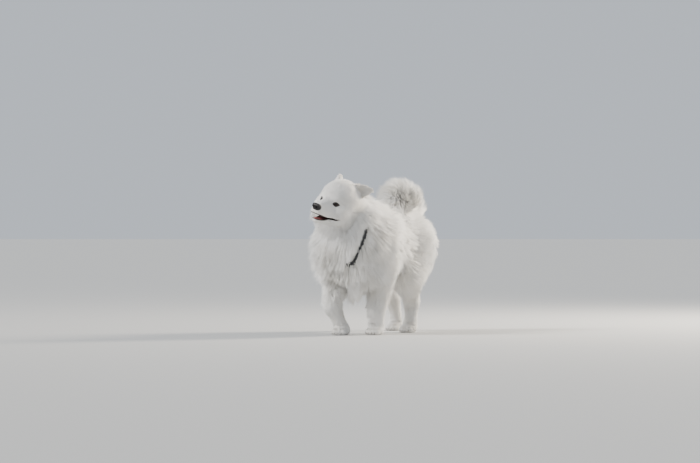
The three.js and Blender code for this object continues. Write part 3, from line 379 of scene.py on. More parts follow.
def surface_net(distance, low, high, cell):
    low = np.array(low, float) - cell
    count = np.ceil((np.array(high, float) - low) / cell).astype(int) + 2
    value = sample_near_surface(distance, low, count, cell)
    inside = value < 0
    offsets = [(a, b, c) for a in (0, 1) for b in (0, 1) for c in (0, 1)]
    n = count - 1
    filled = sum(inside[a:a + n[0], b:b + n[1], c:c + n[2]].astype(int) for a, b, c in offsets)
    cells = np.argwhere((filled > 0) & (filled < 8))
    number = np.full(tuple(n), -1)
    number[tuple(cells.T)] = np.arange(len(cells))
    total = np.zeros((len(cells), 3))
    crossings = np.zeros(len(cells))
    for i, a in enumerate(offsets):
        for b in offsets[i + 1:]:
            if sum(abs(p - q) for p, q in zip(a, b)) != 1:
                continue
            va, vb = value[tuple((cells + a).T)], value[tuple((cells + b).T)]
            cut = (va < 0) != (vb < 0)
            t = (va / np.where(cut, va - vb, 1))[:, None]
            total[cut] += (np.array(a) + np.subtract(b, a) * t)[cut]
            crossings[cut] += 1
    vertices = low + (cells + total / crossings[:, None]) * cell
    quads = []
    step = np.eye(3, dtype=int)
    core = inside[1:-1, 1:-1, 1:-1]
    for axis in range(3):
        one, two = step[(axis + 1) % 3], step[(axis + 2) % 3]
        ahead = np.roll(inside, -1, axis)[1:-1, 1:-1, 1:-1]
        for flip in (False, True):
            at = np.argwhere((core != ahead) & (core != flip)) + 1
            quad = np.stack([number[tuple(r.T)] for r in (at, at - one, at - one - two, at - two)], axis=1)
            quads.append(quad[:, ::-1] if flip else quad)
    return vertices, np.concatenate(quads)


def drawn_onto(distance, points, rounds=3):
    for _ in range(rounds):
        points = points - slope(distance, points, 0.8) * distance(points)[:, None]
    return points


def add_object(name, data):
    made = bpy.data.objects.new(name, data)
    bpy.context.scene.collection.objects.link(made)
    return made


def make_object(name, vertices, faces):
    mesh = bpy.data.meshes.new(name)
    mesh.from_pydata(vertices, [], faces, shade_flat=False)
    return add_object(name, mesh)


def read(items, key, kind=float):
    """Three numbers for each vertex, face or triangle."""
    values = np.zeros(len(items) * 3, kind)
    items.foreach_get(key, values)
    return values.reshape(-1, 3)


# Skin: one surface over the whole dog, finer on its face and feet
SKIN_BOX = ((-190, -520, 0), (190, 400, 720))
SKIN_CELL = 6.0
SOLE = 0.2  # lowest height of the skin
FLESH = ("head", "neck", "torso", "tail", "ear", "paw", "foreleg", "hindleg")


def halvings(points):
    """How many times the skin's faces are halved: most on the face, once on the ears and feet."""
    x, y, z = to_head(points).T
    level = np.zeros(len(points), int)
    level[(x > -10) & (np.abs(y) < 90) & (np.abs(z) < 90)] = 1
    level[(np.maximum(np.abs(x), np.abs(y)) < 170) & (z > 72) & (z < 170)] = 1
    level[points[:, 2] < 62] = 1
    level[(x > 34) & (np.abs(y) < 64) & (z > -90) & (z < 60)] = 2
    return level


def refine(obj):
    """Halves the faces of the head and feet, and draws the vertices onto the true surface."""
    bm = bmesh.new()
    bm.from_mesh(obj.data)
    for step in (1, 2):
        bm.faces.ensure_lookup_table()
        chosen = halvings(in_layout(np.array([f.calc_center_median() for f in bm.faces]))) >= step
        edges = {e for f, keep in zip(bm.faces, chosen) if keep for e in f.edges}
        bmesh.ops.subdivide_edges(bm, edges=list(edges), cuts=1, use_grid_fill=True)
    bmesh.ops.triangulate(bm, faces=[f for f in bm.faces if len(f.verts) > 4])
    bm.to_mesh(obj.data)
    bm.free()
    points = drawn_onto(skin_distance, in_layout(read(obj.data.vertices, "co")))
    points[:, 2] = np.maximum(points[:, 2], SOLE)
    obj.data.vertices.foreach_set("co", metres(points).ravel())
    obj.data.update()


def make_skin():
    vertices, quads = surface_net(skin_distance, *SKIN_BOX, SKIN_CELL)
    vertices[:, 2] = np.maximum(vertices[:, 2], SOLE)
    made = make_object("skin", metres(vertices), quads)
    refine(made)
    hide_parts(*[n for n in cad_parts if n.split("_")[0] in FLESH])
    return made


skin = make_skin()


# Materials
NOISE = "ShaderNodeTexNoise"


def principled(name, colour, roughness, **settings):
    material = bpy.data.materials.new(name)
    material.use_nodes = True
    shader = material.node_tree.nodes["Principled BSDF"]
    shader.inputs["Base Color"].default_value = (*colour, 1)
    shader.inputs["Roughness"].default_value = roughness
    for socket, value in settings.items():
        shader.inputs[socket.replace("_", " ")].default_value = value
    return material, material.node_tree, shader


def node(tree, kind, **values):
    made = tree.nodes.new(kind)
    for key, value in values.items():
        if key in made.inputs:
            made.inputs[key].default_value = value
        else:
            setattr(made, key, value)
    return made


def colour_noise(tree, shader, low, high, scale):
    place = node(tree, "ShaderNodeTexCoord")
    noise = node(tree, NOISE, Scale=scale, Detail=6.0)
    ramps = node(tree, "ShaderNodeValToRGB")
    for element, colour, position in zip(ramps.color_ramp.elements, (low, high), (0.35, 0.65)):
        element.position = position
        element.color = (*colour, 1)
    tree.links.new(place.outputs["Object"], noise.inputs["Vector"])
    tree.links.new(noise.outputs["Fac"], ramps.inputs["Fac"])
    tree.links.new(ramps.outputs["Color"], shader.inputs["Base Color"])


def raise_by(tree, shader, height, strength, distance):
    made = node(tree, "ShaderNodeBump", Strength=strength, Distance=distance)
    tree.links.new(height, made.inputs["Height"])
    tree.links.new(made.outputs["Normal"], shader.inputs["Normal"])


def bump(tree, shader, texture, output, scale, strength, distance=0.001):
    place = node(tree, "ShaderNodeTexCoord")
    pattern = node(tree, texture, Scale=scale)
    tree.links.new(place.outputs["Object"], pattern.inputs["Vector"])
    raise_by(tree, shader, pattern.outputs[output], strength, distance)


def blotched(name, plain, low, high, scale, roughness, bumps=None, **settings):
    """Material whose colour wanders by place, with bumps if they are given."""
    material, tree, shader = principled(name, plain, roughness, **settings)
    colour_noise(tree, shader, low, high, scale)
    if bumps:
        bump(tree, shader, *bumps)
    return material


def coat_material(name, low, high):
    return blotched(name, high, low, high, 9.0, 0.6, Specular_IOR_Level=0.3, Sheen_Weight=0.25,
                    Sheen_Roughness=0.5)


def skin_material():
    return blotched("skin_pale", (0.8, 0.74, 0.68), (0.85, 0.82, 0.77), (0.90, 0.88, 0.85), 14.0, 0.7,
                    (NOISE, "Fac", 900.0, 0.4))


def wet_material(name, low, high, roughness, scale):
    return blotched(name, low, low, high, scale, roughness, (NOISE, "Fac", 700.0, 0.25),
                    Coat_Weight=0.5, Coat_Roughness=0.12)


def dark_skin_material():
    dark = (0.014, 0.012, 0.012)
    return blotched("dark_skin", dark, dark, (0.045, 0.036, 0.034), 160.0, 0.45, (NOISE, "Fac", 1300.0, 0.5))


def nose_material():
    return blotched("nose_leather", (0.012, 0.011, 0.012), (0.010, 0.009, 0.010), (0.030, 0.026, 0.026),
                    60.0, 0.45, ("ShaderNodeTexVoronoi", "Distance", 620.0, 0.75, 0.0006),
                    Specular_IOR_Level=0.35, Coat_Weight=0.06, Coat_Roughness=0.3)


def eye_material(name, low, high, scale):
    return blotched(name, low, low, high, scale, 0.3, Specular_IOR_Level=0.1, Coat_Weight=0.7,
                    Coat_Roughness=0.02)


def claw_material():
    return blotched("claw_horn", (0.2, 0.15, 0.11), (0.05, 0.04, 0.035), (0.22, 0.17, 0.13), 90.0, 0.35)


def webbing_material():
    """Woven: ribs along and across the strap's own map."""
    material, tree, shader = principled("strap_webbing", (0.035, 0.036, 0.04), 0.8)
    colour_noise(tree, shader, (0.026, 0.027, 0.031), (0.062, 0.064, 0.070), 220.0)
    place = node(tree, "ShaderNodeUVMap", uv_map="weave")
    weave = node(tree, "ShaderNodeMath", operation="MULTIPLY")
    for i, direction in enumerate("XY"):
        rib = node(tree, "ShaderNodeTexWave", Scale=5.0, wave_type="BANDS", bands_direction=direction)
        tree.links.new(place.outputs["UV"], rib.inputs["Vector"])
        tree.links.new(rib.outputs["Fac"], weave.inputs[i])
    raise_by(tree, shader, weave.outputs[0], 0.9, 0.0007)
    return material


def metal_material():
    return blotched("worn_metal", (0.62, 0.62, 0.60), (0.50, 0.50, 0.49), (0.70, 0.70, 0.68), 70.0, 0.28,
                    (NOISE, "Fac", 500.0, 0.08), Metallic=1.0)


COAT_WHITE = coat_material("coat_white", (0.88, 0.86, 0.815), (0.93, 0.92, 0.90))
COAT_EARS = coat_material("coat_ears", (0.84, 0.80, 0.73), (0.91, 0.89, 0.86))
SKIN = skin_material()
MOUTH_LINING = wet_material("mouth_lining", (0.055, 0.018, 0.018), (0.11, 0.035, 0.034), 0.4, 60.0)
DARK_SKIN = dark_skin_material()
TONGUE_PINK = wet_material("tongue_pink", (0.42, 0.12, 0.12), (0.55, 0.19, 0.18), 0.35, 120.0)
PUPIL = eye_material("pupil", (0.002, 0.002, 0.002), (0.004, 0.003, 0.003), 50.0)
IRIS = eye_material("iris_brown", (0.010, 0.004, 0.002), (0.036, 0.014, 0.006), 900.0)
SCLERA = eye_material("sclera", (0.10, 0.07, 0.06), (0.20, 0.16, 0.14), 160.0)
NOSE_LEATHER = nose_material()
HORN = claw_material()
WEBBING = webbing_material()
THREAD = principled("stitch_thread", (0.10, 0.105, 0.115), 0.6)[0]
METAL = metal_material()


# Pieces
def tube_faces(rings, sides, closed=False):
    """Quads between rings of vertices, and a cap on each end of a tube that isn't closed."""
    faces = []
    for i in range(rings if closed else rings - 1):
        a, b = i * sides, (i + 1) % rings * sides
        faces += [(a + j, a + (j + 1) % sides, b + (j + 1) % sides, b + j) for j in range(sides)]
    if not closed:
        faces += [tuple(range(sides))[::-1], tuple(range((rings - 1) * sides, rings * sides))]
    return faces


def ways_along(places):
    return unit(np.roll(places, -1, 0) - np.roll(places, 1, 0))


def sweep(places, radii, up, sides=10, closed=False, flat=1.0):
    """Vertices and faces of a bar through places; flat is its height over its width."""
    ahead = ways_along(places) if closed else unit(np.gradient(places, axis=0))
    side = unit(np.cross(ahead, up))
    over = np.cross(side, ahead)
    turn = round_turn(sides)[None, :, None]
    wide = side[:, None] * np.cos(turn) + over[:, None] * np.sin(turn) * flat
    vertices = places[:, None] + wide * np.broadcast_to(radii, len(places))[:, None, None]
    return vertices.reshape(-1, 3), tube_faces(len(places), sides, closed)


def dress(obj, slot, *materials):
    for material in materials:
        obj.data.materials.append(material)
    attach(obj, "root")


def piece(name, shapes, material, slot, *replaced):
    """One object from several closed shapes; it rides on the body and stands for the CAD nodes named."""
    vertices, faces = [], []
    for places, polygons in shapes:
        start = sum(map(len, vertices))
        vertices.append(places)
        faces += [tuple(int(i) + start for i in polygon) for polygon in polygons]
    obj = make_object(name, metres(np.concatenate(vertices)), faces)
    dress(obj, slot, material)
    if replaced:
        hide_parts(*replaced)
    return obj


def sculpted(distance, at, reach, cell):
    """The surface round a place in the head."""
    centre = from_head(at)
    vertices, quads = surface_net(distance, centre - reach, centre + reach, cell)
    return drawn_onto(distance, vertices, 2), quads


# Eyes: a ball with its pupil, iris and white, and a dark rim along its lids
IRIS_EDGE, PUPIL_EDGE = 46.0, 16.0  # degrees from the gaze
EYE_RINGS = (3, 7, 11, 15, 16, 20, 25, 30, 35, 40, 44, 46, 47, 50, 54, 60, 72, 90, 110, 135, 160)
EYE_SIDES = 48


def eye_kind(ring):
    """0 for the pupil, 1 for the iris and 2 for the white."""
    return 0 if ring <= PUPIL_EDGE else 1 if ring <= IRIS_EDGE else 2


def eyeball(side, name):
    centre, right, top, gaze = eye_axes(side)
    turn = round_turn(EYE_SIDES)[:, None]
    flat = right * np.cos(turn) + top * np.sin(turn)
    vertices = []
    for ring in EYE_RINGS:
        radius = EYE["radius"] + EYE["cornea"] * max(0.0, 1 - (ring / IRIS_EDGE) ** 2) ** 2
        tip = math.radians(ring)
        vertices.append(centre + radius * (gaze * math.cos(tip) + flat * math.sin(tip)))
    front = len(EYE_RINGS) * EYE_SIDES
    vertices.append([centre + gaze * (EYE["radius"] + EYE["cornea"]), centre - gaze * EYE["radius"]])
    last = front - EYE_SIDES
    faces, kinds = [], []
    for j in range(EYE_SIDES):
        k = (j + 1) % EYE_SIDES
        faces.append((front, j, k))
        faces += [(a + j, a + EYE_SIDES + j, a + EYE_SIDES + k, a + k) for a in range(0, last, EYE_SIDES)]
        faces.append((front + 1, last + k, last + j))
        kinds += [0, *map(eye_kind, EYE_RINGS[1:]), 2]
    if side < 0:
        faces = [face[::-1] for face in faces]
    obj = piece(name + "_ball", [(np.concatenate(vertices), faces)], PUPIL, "eye", name)
    obj.data.materials.append(IRIS)
    obj.data.materials.append(SCLERA)
    obj.data.polygons.foreach_set("material_index", kinds)


def lid_rim(side, name):
    centre, right, top, gaze = eye_axes(side)
    turn = round_turn(72)
    u = np.cos(turn) * 1.06
    v = np.sign(np.sin(turn)) * lid_opening(np.cos(turn) * EYE["wide"] / 2)
    flat = right * (u * EYE["wide"] / 2)[:, None] + top * v[:, None]
    rise = np.sqrt(np.maximum((EYE["radius"] + 1.2) ** 2 - (flat**2).sum(1), 16))
    radii = 1.9 + 0.4 * (v > 0) + 0.7 * np.abs(np.cos(turn)) ** 6
    places = centre + flat + gaze * rise[:, None]
    piece(name + "_rim", [sweep(places, radii, gaze, closed=True)], DARK_SKIN, "lip")


for eye_side, eye_name in ((1, "eye_left"), (-1, "eye_right")):
    eyeball(eye_side, eye_name)
    lid_rim(eye_side, eye_name)


# Nose: a leather pad with nostrils, their side slits and the groove between them
NOSE = dict(at=(143.5, 0, -26), size=(15, 23.5, 16.5), slant=0.2)


def in_nose(points):
    """Places as seen from the middle of the nose, which slants back below."""
    local = to_head(points) - NOSE["at"]
    local[:, 0] -= NOSE["slant"] * local[:, 2]
    return local


def nose_hull(local):
    """Distance to the nose without its nostrils: a rounded block, wider above."""
    deep, wide, high = NOSE["size"]
    widths = wide * (0.92 + 0.13 * np.clip(local[:, 2] / high, -1, 1))
    q = np.abs(local) / np.stack([np.full(len(local), deep), widths, np.full(len(local), high)], 1)
    return ((q**2.5).sum(1) ** 0.4 - 1) * deep


def nose_distance(points):
    local = in_nose(points)
    pad = nose_hull(local)
    x, y, z = local[:, 0], np.abs(local[:, 1]), local[:, 2]
    mirrored = np.stack([x, y, z], axis=1)
    nostril = smooth_min(rod(mirrored, (17, 8.8, -0.5), (4, 6, 0), 4.1, 4.1),
                         rod(mirrored, (14, 12.5, -4.5), (1, 21.5, -9), 1.9, 1.9), blend=4)
    groove = np.max([y - 0.6, -pad - 1.5, z - 4, 3 - x], axis=0)
    return smooth_max(smooth_max(pad, -nostril, blend=2.4), -groove, blend=1.2)


piece("nose_pad", [sculpted(nose_distance, NOSE["at"], 27, 0.9)], NOSE_LEATHER, "nose_leather", "nose")


# Mouth: dark lips along both its edges, and the tongue
LIPS_FROM = 58.0  # how far ahead in the head the middle of the mouth's outline is
TONGUE = dict(at=(92, 0, -73.5), size=(40, 15, 4.2), droop=0.0012)


def lip_places(lower):
    """The edge of the mouth on the face, from its right corner round the front to its left one."""
    turn = np.radians(np.linspace(-128, 128, 101))
    inner, outer = np.full(len(turn), 4.0), np.full(len(turn), 105.0)
    for _ in range(22):
        reach = (inner + outer) / 2
        x, y = LIPS_FROM + np.cos(turn) * reach, np.sin(turn) * reach
        local = np.stack([x, y, mouth_edges(x)[lower]], 1)
        within = flesh(from_head(local)) < 0
        inner, outer = np.where(within, reach, inner), np.where(within, outer, reach)
    return local[x > MOUTH["back"] + 3]


def make_lip(name, lower):
    local = lip_places(lower)
    local[:, 2] += -0.5 if lower else 0.5
    ahead = (local[:, 0] - local[:, 0].min()) / np.ptp(local[:, 0])
    radii = 3.0 - 0.6 * ahead + (0.2 * np.sin(np.arange(len(local)) * 0.9) if lower else 0)
    radii = radii * np.clip(0.35 + ahead * 12, 0, 1)
    places = from_head(local - unit(local - (60, 0, -58)) * 0.4)
    piece(name + "_rim", [sweep(places, radii, HEAD[2], 12, flat=0.9)], DARK_SKIN, "lip", name)
    return places


def tongue_distance(points):
    local = to_head(points) - TONGUE["at"]
    local[:, 2] += TONGUE["droop"] * local[:, 0] ** 2
    body = (length(local / TONGUE["size"]) - 1) * TONGUE["size"][2]
    groove = rod(local, (-40, 0, 5.2), (34, 0, 5.2), 1.7, 1.7)
    return smooth_max(body, -groove, blend=2.5)


LIPS = np.concatenate([make_lip("lip_upper", 0), make_lip("lip_lower", 1)])
piece("tongue_leaf", [sculpted(tongue_distance, TONGUE["at"], 46, 1.5)], TONGUE_PINK, "tongue", "tongue")


# Skin's colours: dark inside the mouth, under the nose and under the feet
def dress_skin():
    dress(skin, "coat", SKIN, MOUTH_LINING, DARK_SKIN)
    middles = in_layout(read(skin.data.polygons, "center"))
    kinds = np.where(in_mouth(to_head(middles), 1.0), 1, 0)
    kinds[(middles[:, 2] < 2.5) | (nose_hull(in_nose(middles)) < -1)] = 2
    skin.data.polygons.foreach_set("material_index", kinds)


dress_skin()


# Claws: four on each foot
def claw(root):
    t = np.linspace(0, 1, 8)
    places = root + np.stack([0 * t, -14 * t, 1.5 - 6 * t * t - 1.5 * t], 1)
    return sweep(places, 2.6 * (1 - t) ** 0.7 + 0.25, (0, 0, 1.0), 8, flat=1.25)


def make_claws(leg_name):
    foot = np.array(LEGS[leg_name]["foot"], float)
    claws = [claw(foot + (across, -ahead - 10, 11)) for across, ahead in TOES]
    piece("claws_" + leg_name, claws, HORN, "nose_leather")


for leg_name in LEGS:
    make_claws(leg_name)


# Collar: a loose strap that lies part way into the coat, with a ring in its loop and a slide
STRAP_WIDE, STRAP_THICK, STRAP_CORNER = 20.0, 3.0, 0.9
STRAP_LEVEL = 0.45  # how deep in the coat it lies, from the skin out
STRAP_SUNK, STRAP_UNDER = 0.6, 8.0  # further in, all round and where the ruff covers it
STRAP_KNOTS = ((0, -168, 600), (104, -232, 556), (128, -300, 500), (115, -332, 441), (88, -334, 380),
               (58, -342, 317), (36, -346, 298), (-14, -352, 289), (-66, -342, 314), (-118, -330, 400),
               (-142, -290, 480), (-112, -226, 556))
RING = dict(near=(44, -346, 300), wide=36.0, high=22.0, wire=2.2, bend=5.0)
SLIDE = dict(near=(84, -337, 361), wide=13.0, high=26.0, thick=6.4)


def mid_coat(points):
    """Distance to the level in the coat at which the strap lies."""
    nearest = np.full(len(points), FAR)
    for e in elements:
        if e["part"] != "tail":
            nearest = smooth_min(nearest, e["distance"](points) - STRAP_LEVEL * e["coat"], e["blend"])
    return nearest


def even_loop(knots, count):
    n = len(knots)
    t = np.linspace(0, n, 1500, endpoint=False)
    i = t.astype(int)
    f = (t - i)[:, None]
    a, b, c, d = (knots[(i + k) % n] for k in (-1, 0, 1, 2))
    places = 0.5 * (2 * b + (c - a) * f + (2 * a - 5 * b + 4 * c - d) * f**2 + (3 * b - a - 3 * c + d) * f**3)
    steps = length(np.diff(places, axis=0, append=places[:1]))
    run = np.concatenate([[0], np.cumsum(steps)])
    even = np.linspace(0, run[-1], count, endpoint=False)
    return np.stack([np.interp(even, run, np.append(line, line[0])) for line in places.T], 1)


def strap_way():
    """Even places round the strap, each with its ways ahead, out of the coat and across."""
    places = even_loop(np.array(STRAP_KNOTS, float), 260)
    covered = np.clip(ramp(places[:, 2], 440, 40) + ramp(places[:, 0], -10, -40), 0, 1)
    sunk = STRAP_SUNK + STRAP_UNDER * covered
    for _ in range(10):
        places -= slope(mid_coat, places, 2) * (mid_coat(places) + sunk)[:, None]
    ahead = ways_along(places)
    out = square_to(ahead, slope(mid_coat, places, 2))
    return places, ahead, out, np.cross(out, ahead)


STRAP = strap_way()


def strap_place(near):
    at = np.argmin(length(STRAP[0] - near))
    return [part[at] for part in STRAP]


def make_strap():
    places, ahead, out, across = STRAP
    half, thick, corner = STRAP_WIDE / 2, STRAP_THICK / 2, STRAP_CORNER
    section = [(-half, -thick + corner), (-half + corner, -thick), (half - corner, -thick),
               (half, -thick + corner), (half, thick - corner), (half - corner, thick),
               (0, thick + 0.25), (-half + corner, thick), (-half, thick - corner)]
    count, sides = len(places), len(section)
    vertices = np.stack([places + across * w + out * h for w, h in section], 1).reshape(-1, 3)
    shape = (vertices, tube_faces(count, sides, closed=True))
    strap = piece("collar_webbing", [shape], WEBBING, "strap", "collar_strap")
    run = np.arange(count + 1) * math.dist(places[0], places[1]) / 10
    rim = np.cumsum([0] + [math.dist(p, q) / 10 for p, q in zip(section, section[1:] + section[:1])])
    i, j = np.divmod(np.arange(count * sides)[:, None], sides)
    weave = np.stack([run[i + (0, 0, 1, 1)], rim[j + (0, 1, 1, 0)]], -1)
    strap.data.uv_layers.new(name="weave").data.foreach_set("uv", weave.ravel())


def make_stitches():
    """Two rows of thread along the part of the strap that shows."""
    rows = []
    places, _, out, across = STRAP
    t = np.linspace(0.12, 0.88, 5)
    lift = STRAP_THICK / 2 + 0.1 + 0.25 * np.sin(np.pi * (t - 0.12) / 0.76)
    for i in SHOWN[:-1]:
        for edge in (-7.4, 7.4):
            start, end = (places[k] + across[k] * edge for k in (i, i + 1))
            thread = start + (end - start) * t[:, None] + out[i] * lift[:, None]
            rows.append(sweep(thread, 0.42, out[i], 6))
    piece("collar_stitches", rows, THREAD, "strap")


def rounded_box(at, along, across, out, size, corner):
    """A block with rounded edges, by pushing a sphere's directions out to a smaller block's corners."""
    core = np.array(size) / 2 - corner
    rings, sides = 17, 32
    tilt = np.linspace(-math.pi / 2, math.pi / 2, rings)[:, None]
    turn = (np.arange(sides) + 0.5) * 2 * math.pi / sides
    ways = [np.cos(turn) * np.cos(tilt), np.sin(turn) * np.cos(tilt), np.sin(tilt) + 0 * turn]
    ways = np.stack(ways, -1).reshape(-1, 3)
    local = np.sign(np.round(ways, 6)) * core + ways * corner
    return at + local @ (along, across, out), tube_faces(rings, sides)


def ring_places():
    """Round the ring: a rectangle with bent corners that hangs level from its tab."""
    at, _, out, _ = strap_place(RING["near"])
    right = unit(np.cross((0, 0, 1.0), out))
    down = -np.cross(out, right)
    top = at + out * (STRAP_THICK / 2 + RING["wire"] + 0.9) - down * 3
    bend = RING["bend"]
    corners = []
    for i, (x, y) in enumerate(((1, 0), (1, 1), (-1, 1), (-1, 0))):
        middle = np.array([x * (RING["wide"] / 2 - bend), bend + y * (RING["high"] - 2 * bend)])
        for a in np.radians(np.linspace(-90, 0, 9) + 90 * i):
            corners.append(middle + bend * np.array([math.cos(a), math.sin(a)]))
    flat = []
    for p, q in zip(corners, corners[1:] + corners[:1]):
        parts = max(1, int(math.dist(p, q) / 2.5))
        flat += [p + (q - p) * k / parts for k in range(parts)]
    return top + np.array(flat) @ (right, down), out


def make_ring():
    places, out = ring_places()
    wire = sweep(places, RING["wire"], out, 14, closed=True)
    piece("collar_ring_wire", [wire], METAL, "metal", "collar_ring")
    at, ahead, up, across = strap_place(RING["near"])
    loop = rounded_box(at + up * 5.6 - across * 2, ahead, across, up, (13, 13, 7.4), 1.6)
    piece("collar_ring_loop", [loop], WEBBING, "strap", "collar_tab")
    return places


def make_slide():
    at, ahead, up, across = strap_place(SLIDE["near"])
    at = at + up * 0.6
    wide, high, thick = SLIDE["wide"], SLIDE["high"], SLIDE["thick"]
    bars = [rounded_box(at + ahead * shift, ahead, across, up, (2.6, high, thick), 1.2)
            for shift in (-5.2, 0, 5.2)]
    bars += [rounded_box(at + across * shift, ahead, across, up, (wide, 2.4, thick), 1.15)
             for shift in (-11.8, 11.8)]
    piece("collar_slide_frame", bars, METAL, "metal", "collar_slide")


SHOWN = np.flatnonzero((STRAP[0][:, 0] > 14) & (STRAP[0][:, 1] < -250) & (STRAP[0][:, 2] < 455))
make_strap()
make_stitches()
RING_WAY = make_ring()
make_slide()


# Coat: where it grows, how deep it is and which way it lies
COATS = {  # axis that each piece is unwrapped round; its tufts' spacing, width and pull, as shares
    "face": dict(axis=((28, 0, -20), (150, 0, -20)), spacing=1.14),
    "head": dict(axis=((-70, 0, 0), (40, 0, 0)), spacing=0.76),
    "ears": dict(axis=((-60, 0, 20), (-60, 0, 130)), width=0.8),
    "ruff": dict(axis=((0, -130, 440), (-27, -300, 540)), spacing=0.84),
    "chest": dict(axis=((0, -190, 250), (0, -190, 520)), spacing=0.88, pull=1.2),
    "side_left": dict(axis=((0, -170, 400), (0, 210, 410)), pull=1.2),
    "side_right": dict(axis=((0, -170, 400), (0, 210, 410)), pull=1.2),
    "rump": dict(axis=((0, 180, 410), (0, 360, 420)), spacing=1.04, pull=1.6),
    "tail": dict(axis=((0, 290, 560), (30, 60, 560)), spacing=0.7, width=1.25, pull=1.7),
    "forelegs": dict(axis=((0, -190, 0), (0, -160, 262)), spacing=1.3, width=0.72),
    "hindlegs": dict(axis=((0, 200, 0), (0, 180, 262)), spacing=1.34, width=0.72),
}
IN_HEAD = ("face", "head", "ears")
BY_STRAP = ("ruff", "chest", "side_left", "head")
LEG_TOP = 262.0
PLANES = dict(ears=((0.886, 0, 0.464), -37.596), ruff=((0, -0.543, 0.84), 532.59),
              tail=((0, 0.45, 0.9), 598.5))  # way across each plane, and how far along it the plane is
PATCH = 0.003  # width of a tuft on its piece's unwrap
LOW = 0.4  # least height of a tuft over the floor


def past_plane(points, name):
    way, offset = PLANES[name]
    return points @ way > offset


def region_of(points):
    x, y, z = points.T
    local = to_head(points)
    before_ears = past_plane(local, "ears")
    names = np.where(x > 0, "side_left", "side_right").astype(object)
    names[y > 190] = "rump"
    names[y < -150] = "chest"
    names[(z < LEG_TOP) & (y < -60)] = "forelegs"
    names[(z < LEG_TOP) & (y > 40)] = "hindlegs"
    names[past_plane(points, "ruff")] = "ruff"
    names[past_plane(points, "tail")] = "tail"
    names[(y > 20) & (z > 538)] = "tail"
    names[before_ears & (y < -200)] = "head"
    names[before_ears & (local[:, 0] > 28) & (np.abs(local[:, 2]) < 110)] = "face"
    names[on_ears(points)] = "ears"
    return names


def on_ears(points):
    local = to_head(points)
    near = np.minimum(*[ear_distance(points, ear) for ear in EARS]) < 1.5
    return near & (local[:, 2] > 52) & (np.abs(local).max(axis=1) < 170)


def past_eyes(points):
    """How far places are outside the gap between the lids, over the skin."""
    nearest = np.full(len(points), FAR)
    for side in (1, -1):
        across, above, ahead, away = seen_from_eye(side, points)
        beside = np.maximum(np.abs(across) - EYE["wide"] / 2, 0)
        over = np.abs(above) - lid_opening(across)
        past = np.hypot(np.maximum(over, 0), beside) - np.where((over < 0) & (beside == 0), 2.0, 0)
        nearest = np.minimum(nearest, np.where((ahead < -2) | (away > 60), FAR, past))
    return nearest


def past_nose(points):
    return nose_hull(in_nose(points))


def body_coat(points):
    """Depth and lie of the coat from the body's elements, and how much of it is the tail's."""
    total, depth, in_tail = np.zeros((3, len(points)))
    lie = np.zeros_like(points)
    for e in elements:
        fade = 7 if e["part"] == "tail_root" else 14
        weight = np.exp(-np.maximum(-20, e["distance"](points)) / fade)
        total += weight
        in_tail += weight * (e["part"] == "tail")
        depth += weight * e["coat"]
        lie += weight[:, None] * e["lie"]
    return depth / total, unit(lie), in_tail / total


def lie_and_depth(points):
    """The way that the coat lies, its depth, and how much further its tufts reach."""
    x, y, z = points.T
    depth, lie, in_tail = body_coat(points)
    between_legs = ramp(np.abs(x + 6), 78, -30) * ramp(z, 190, 30) * ramp(z, 310, -30) * (y < -110)
    depth += 20 * between_legs
    (before, _), (tip, _) = TAIL[-2:]
    from_tip = length(points - tip)
    past_tip = (points - tip) @ unit(np.subtract(tip, before)) / 12 + 0.6
    depth *= 1 - 0.3 * np.clip(past_tip, 0, 1) * (from_tip < 45)
    plume_end = np.clip(1.3 - from_tip / 110, 0, 1) * in_tail
    depth *= 1 - 0.22 * plume_end
    breeches = ramp(y, 215, 50) * ramp(z, 430, -60)
    nape = ramp(to_head(points)[:, 0], -25, -35) * (y < -230) * (z > 560)
    lie += plume_end[:, None] * (0.35, 0.1, -1.8) + breeches[:, None] * (0, -0.45, -0.9)
    lie = unit(lie + nape[:, None] * (0, 0, -1.1))
    depth *= np.clip(0.3 + past_eyes(points) / 26, 0.3, 1)
    from_nose = past_nose(points)
    depth = np.minimum(depth, 1.8 + np.maximum(from_nose, 0) * 0.13 + FAR * (from_nose > 120))
    lay_on_ears(points, lie, depth)
    return lie, depth, 1 + 0.9 * plume_end


def lay_on_ears(points, lie, depth):
    """Short fur that fans out towards the ears' tips and edges."""
    ears = on_ears(points)
    for ear in EARS:
        root, along, across, outward, long = ear_axes(ear)
        local = points - root
        mine = ears & (length(local) < 130) & (ear_distance(points, ear) < 3)
        up, aside = local[mine] @ along / long, local[mine] @ across
        front = ramp(local[mine] @ outward, EAR["cup"] * 0.2, 4)
        lie[mine] = unit(along + across * (aside / 40)[:, None] - outward * (0.2 * front)[:, None])
        depth[mine] = np.clip(9 - 4 * up, 4, 9) + 3 * front


def unwrap(points, name):
    """Place on the piece's unwrap: the angle round its axis, and how far along, each from 0 to 1."""
    start, end = np.array(COATS[name]["axis"], float)
    if name in IN_HEAD:
        start, end = from_head(start), from_head(end)
    along = unit(end - start)
    local = points - start
    side = unit(np.cross(along, (0.3, 0.2, 1.0)))
    over = np.cross(side, along)
    flat = np.stack([np.arctan2(local @ side, local @ over), local @ along], axis=1)
    flat = (flat - flat.min(0)) / np.maximum(np.ptp(flat, axis=0), 1e-6)
    if name.endswith("legs"):
        flat[:, 0] = flat[:, 0] / 2 + np.where(points[:, 0] > 0, 0, 0.5)
    return 0.004 + flat * 0.992


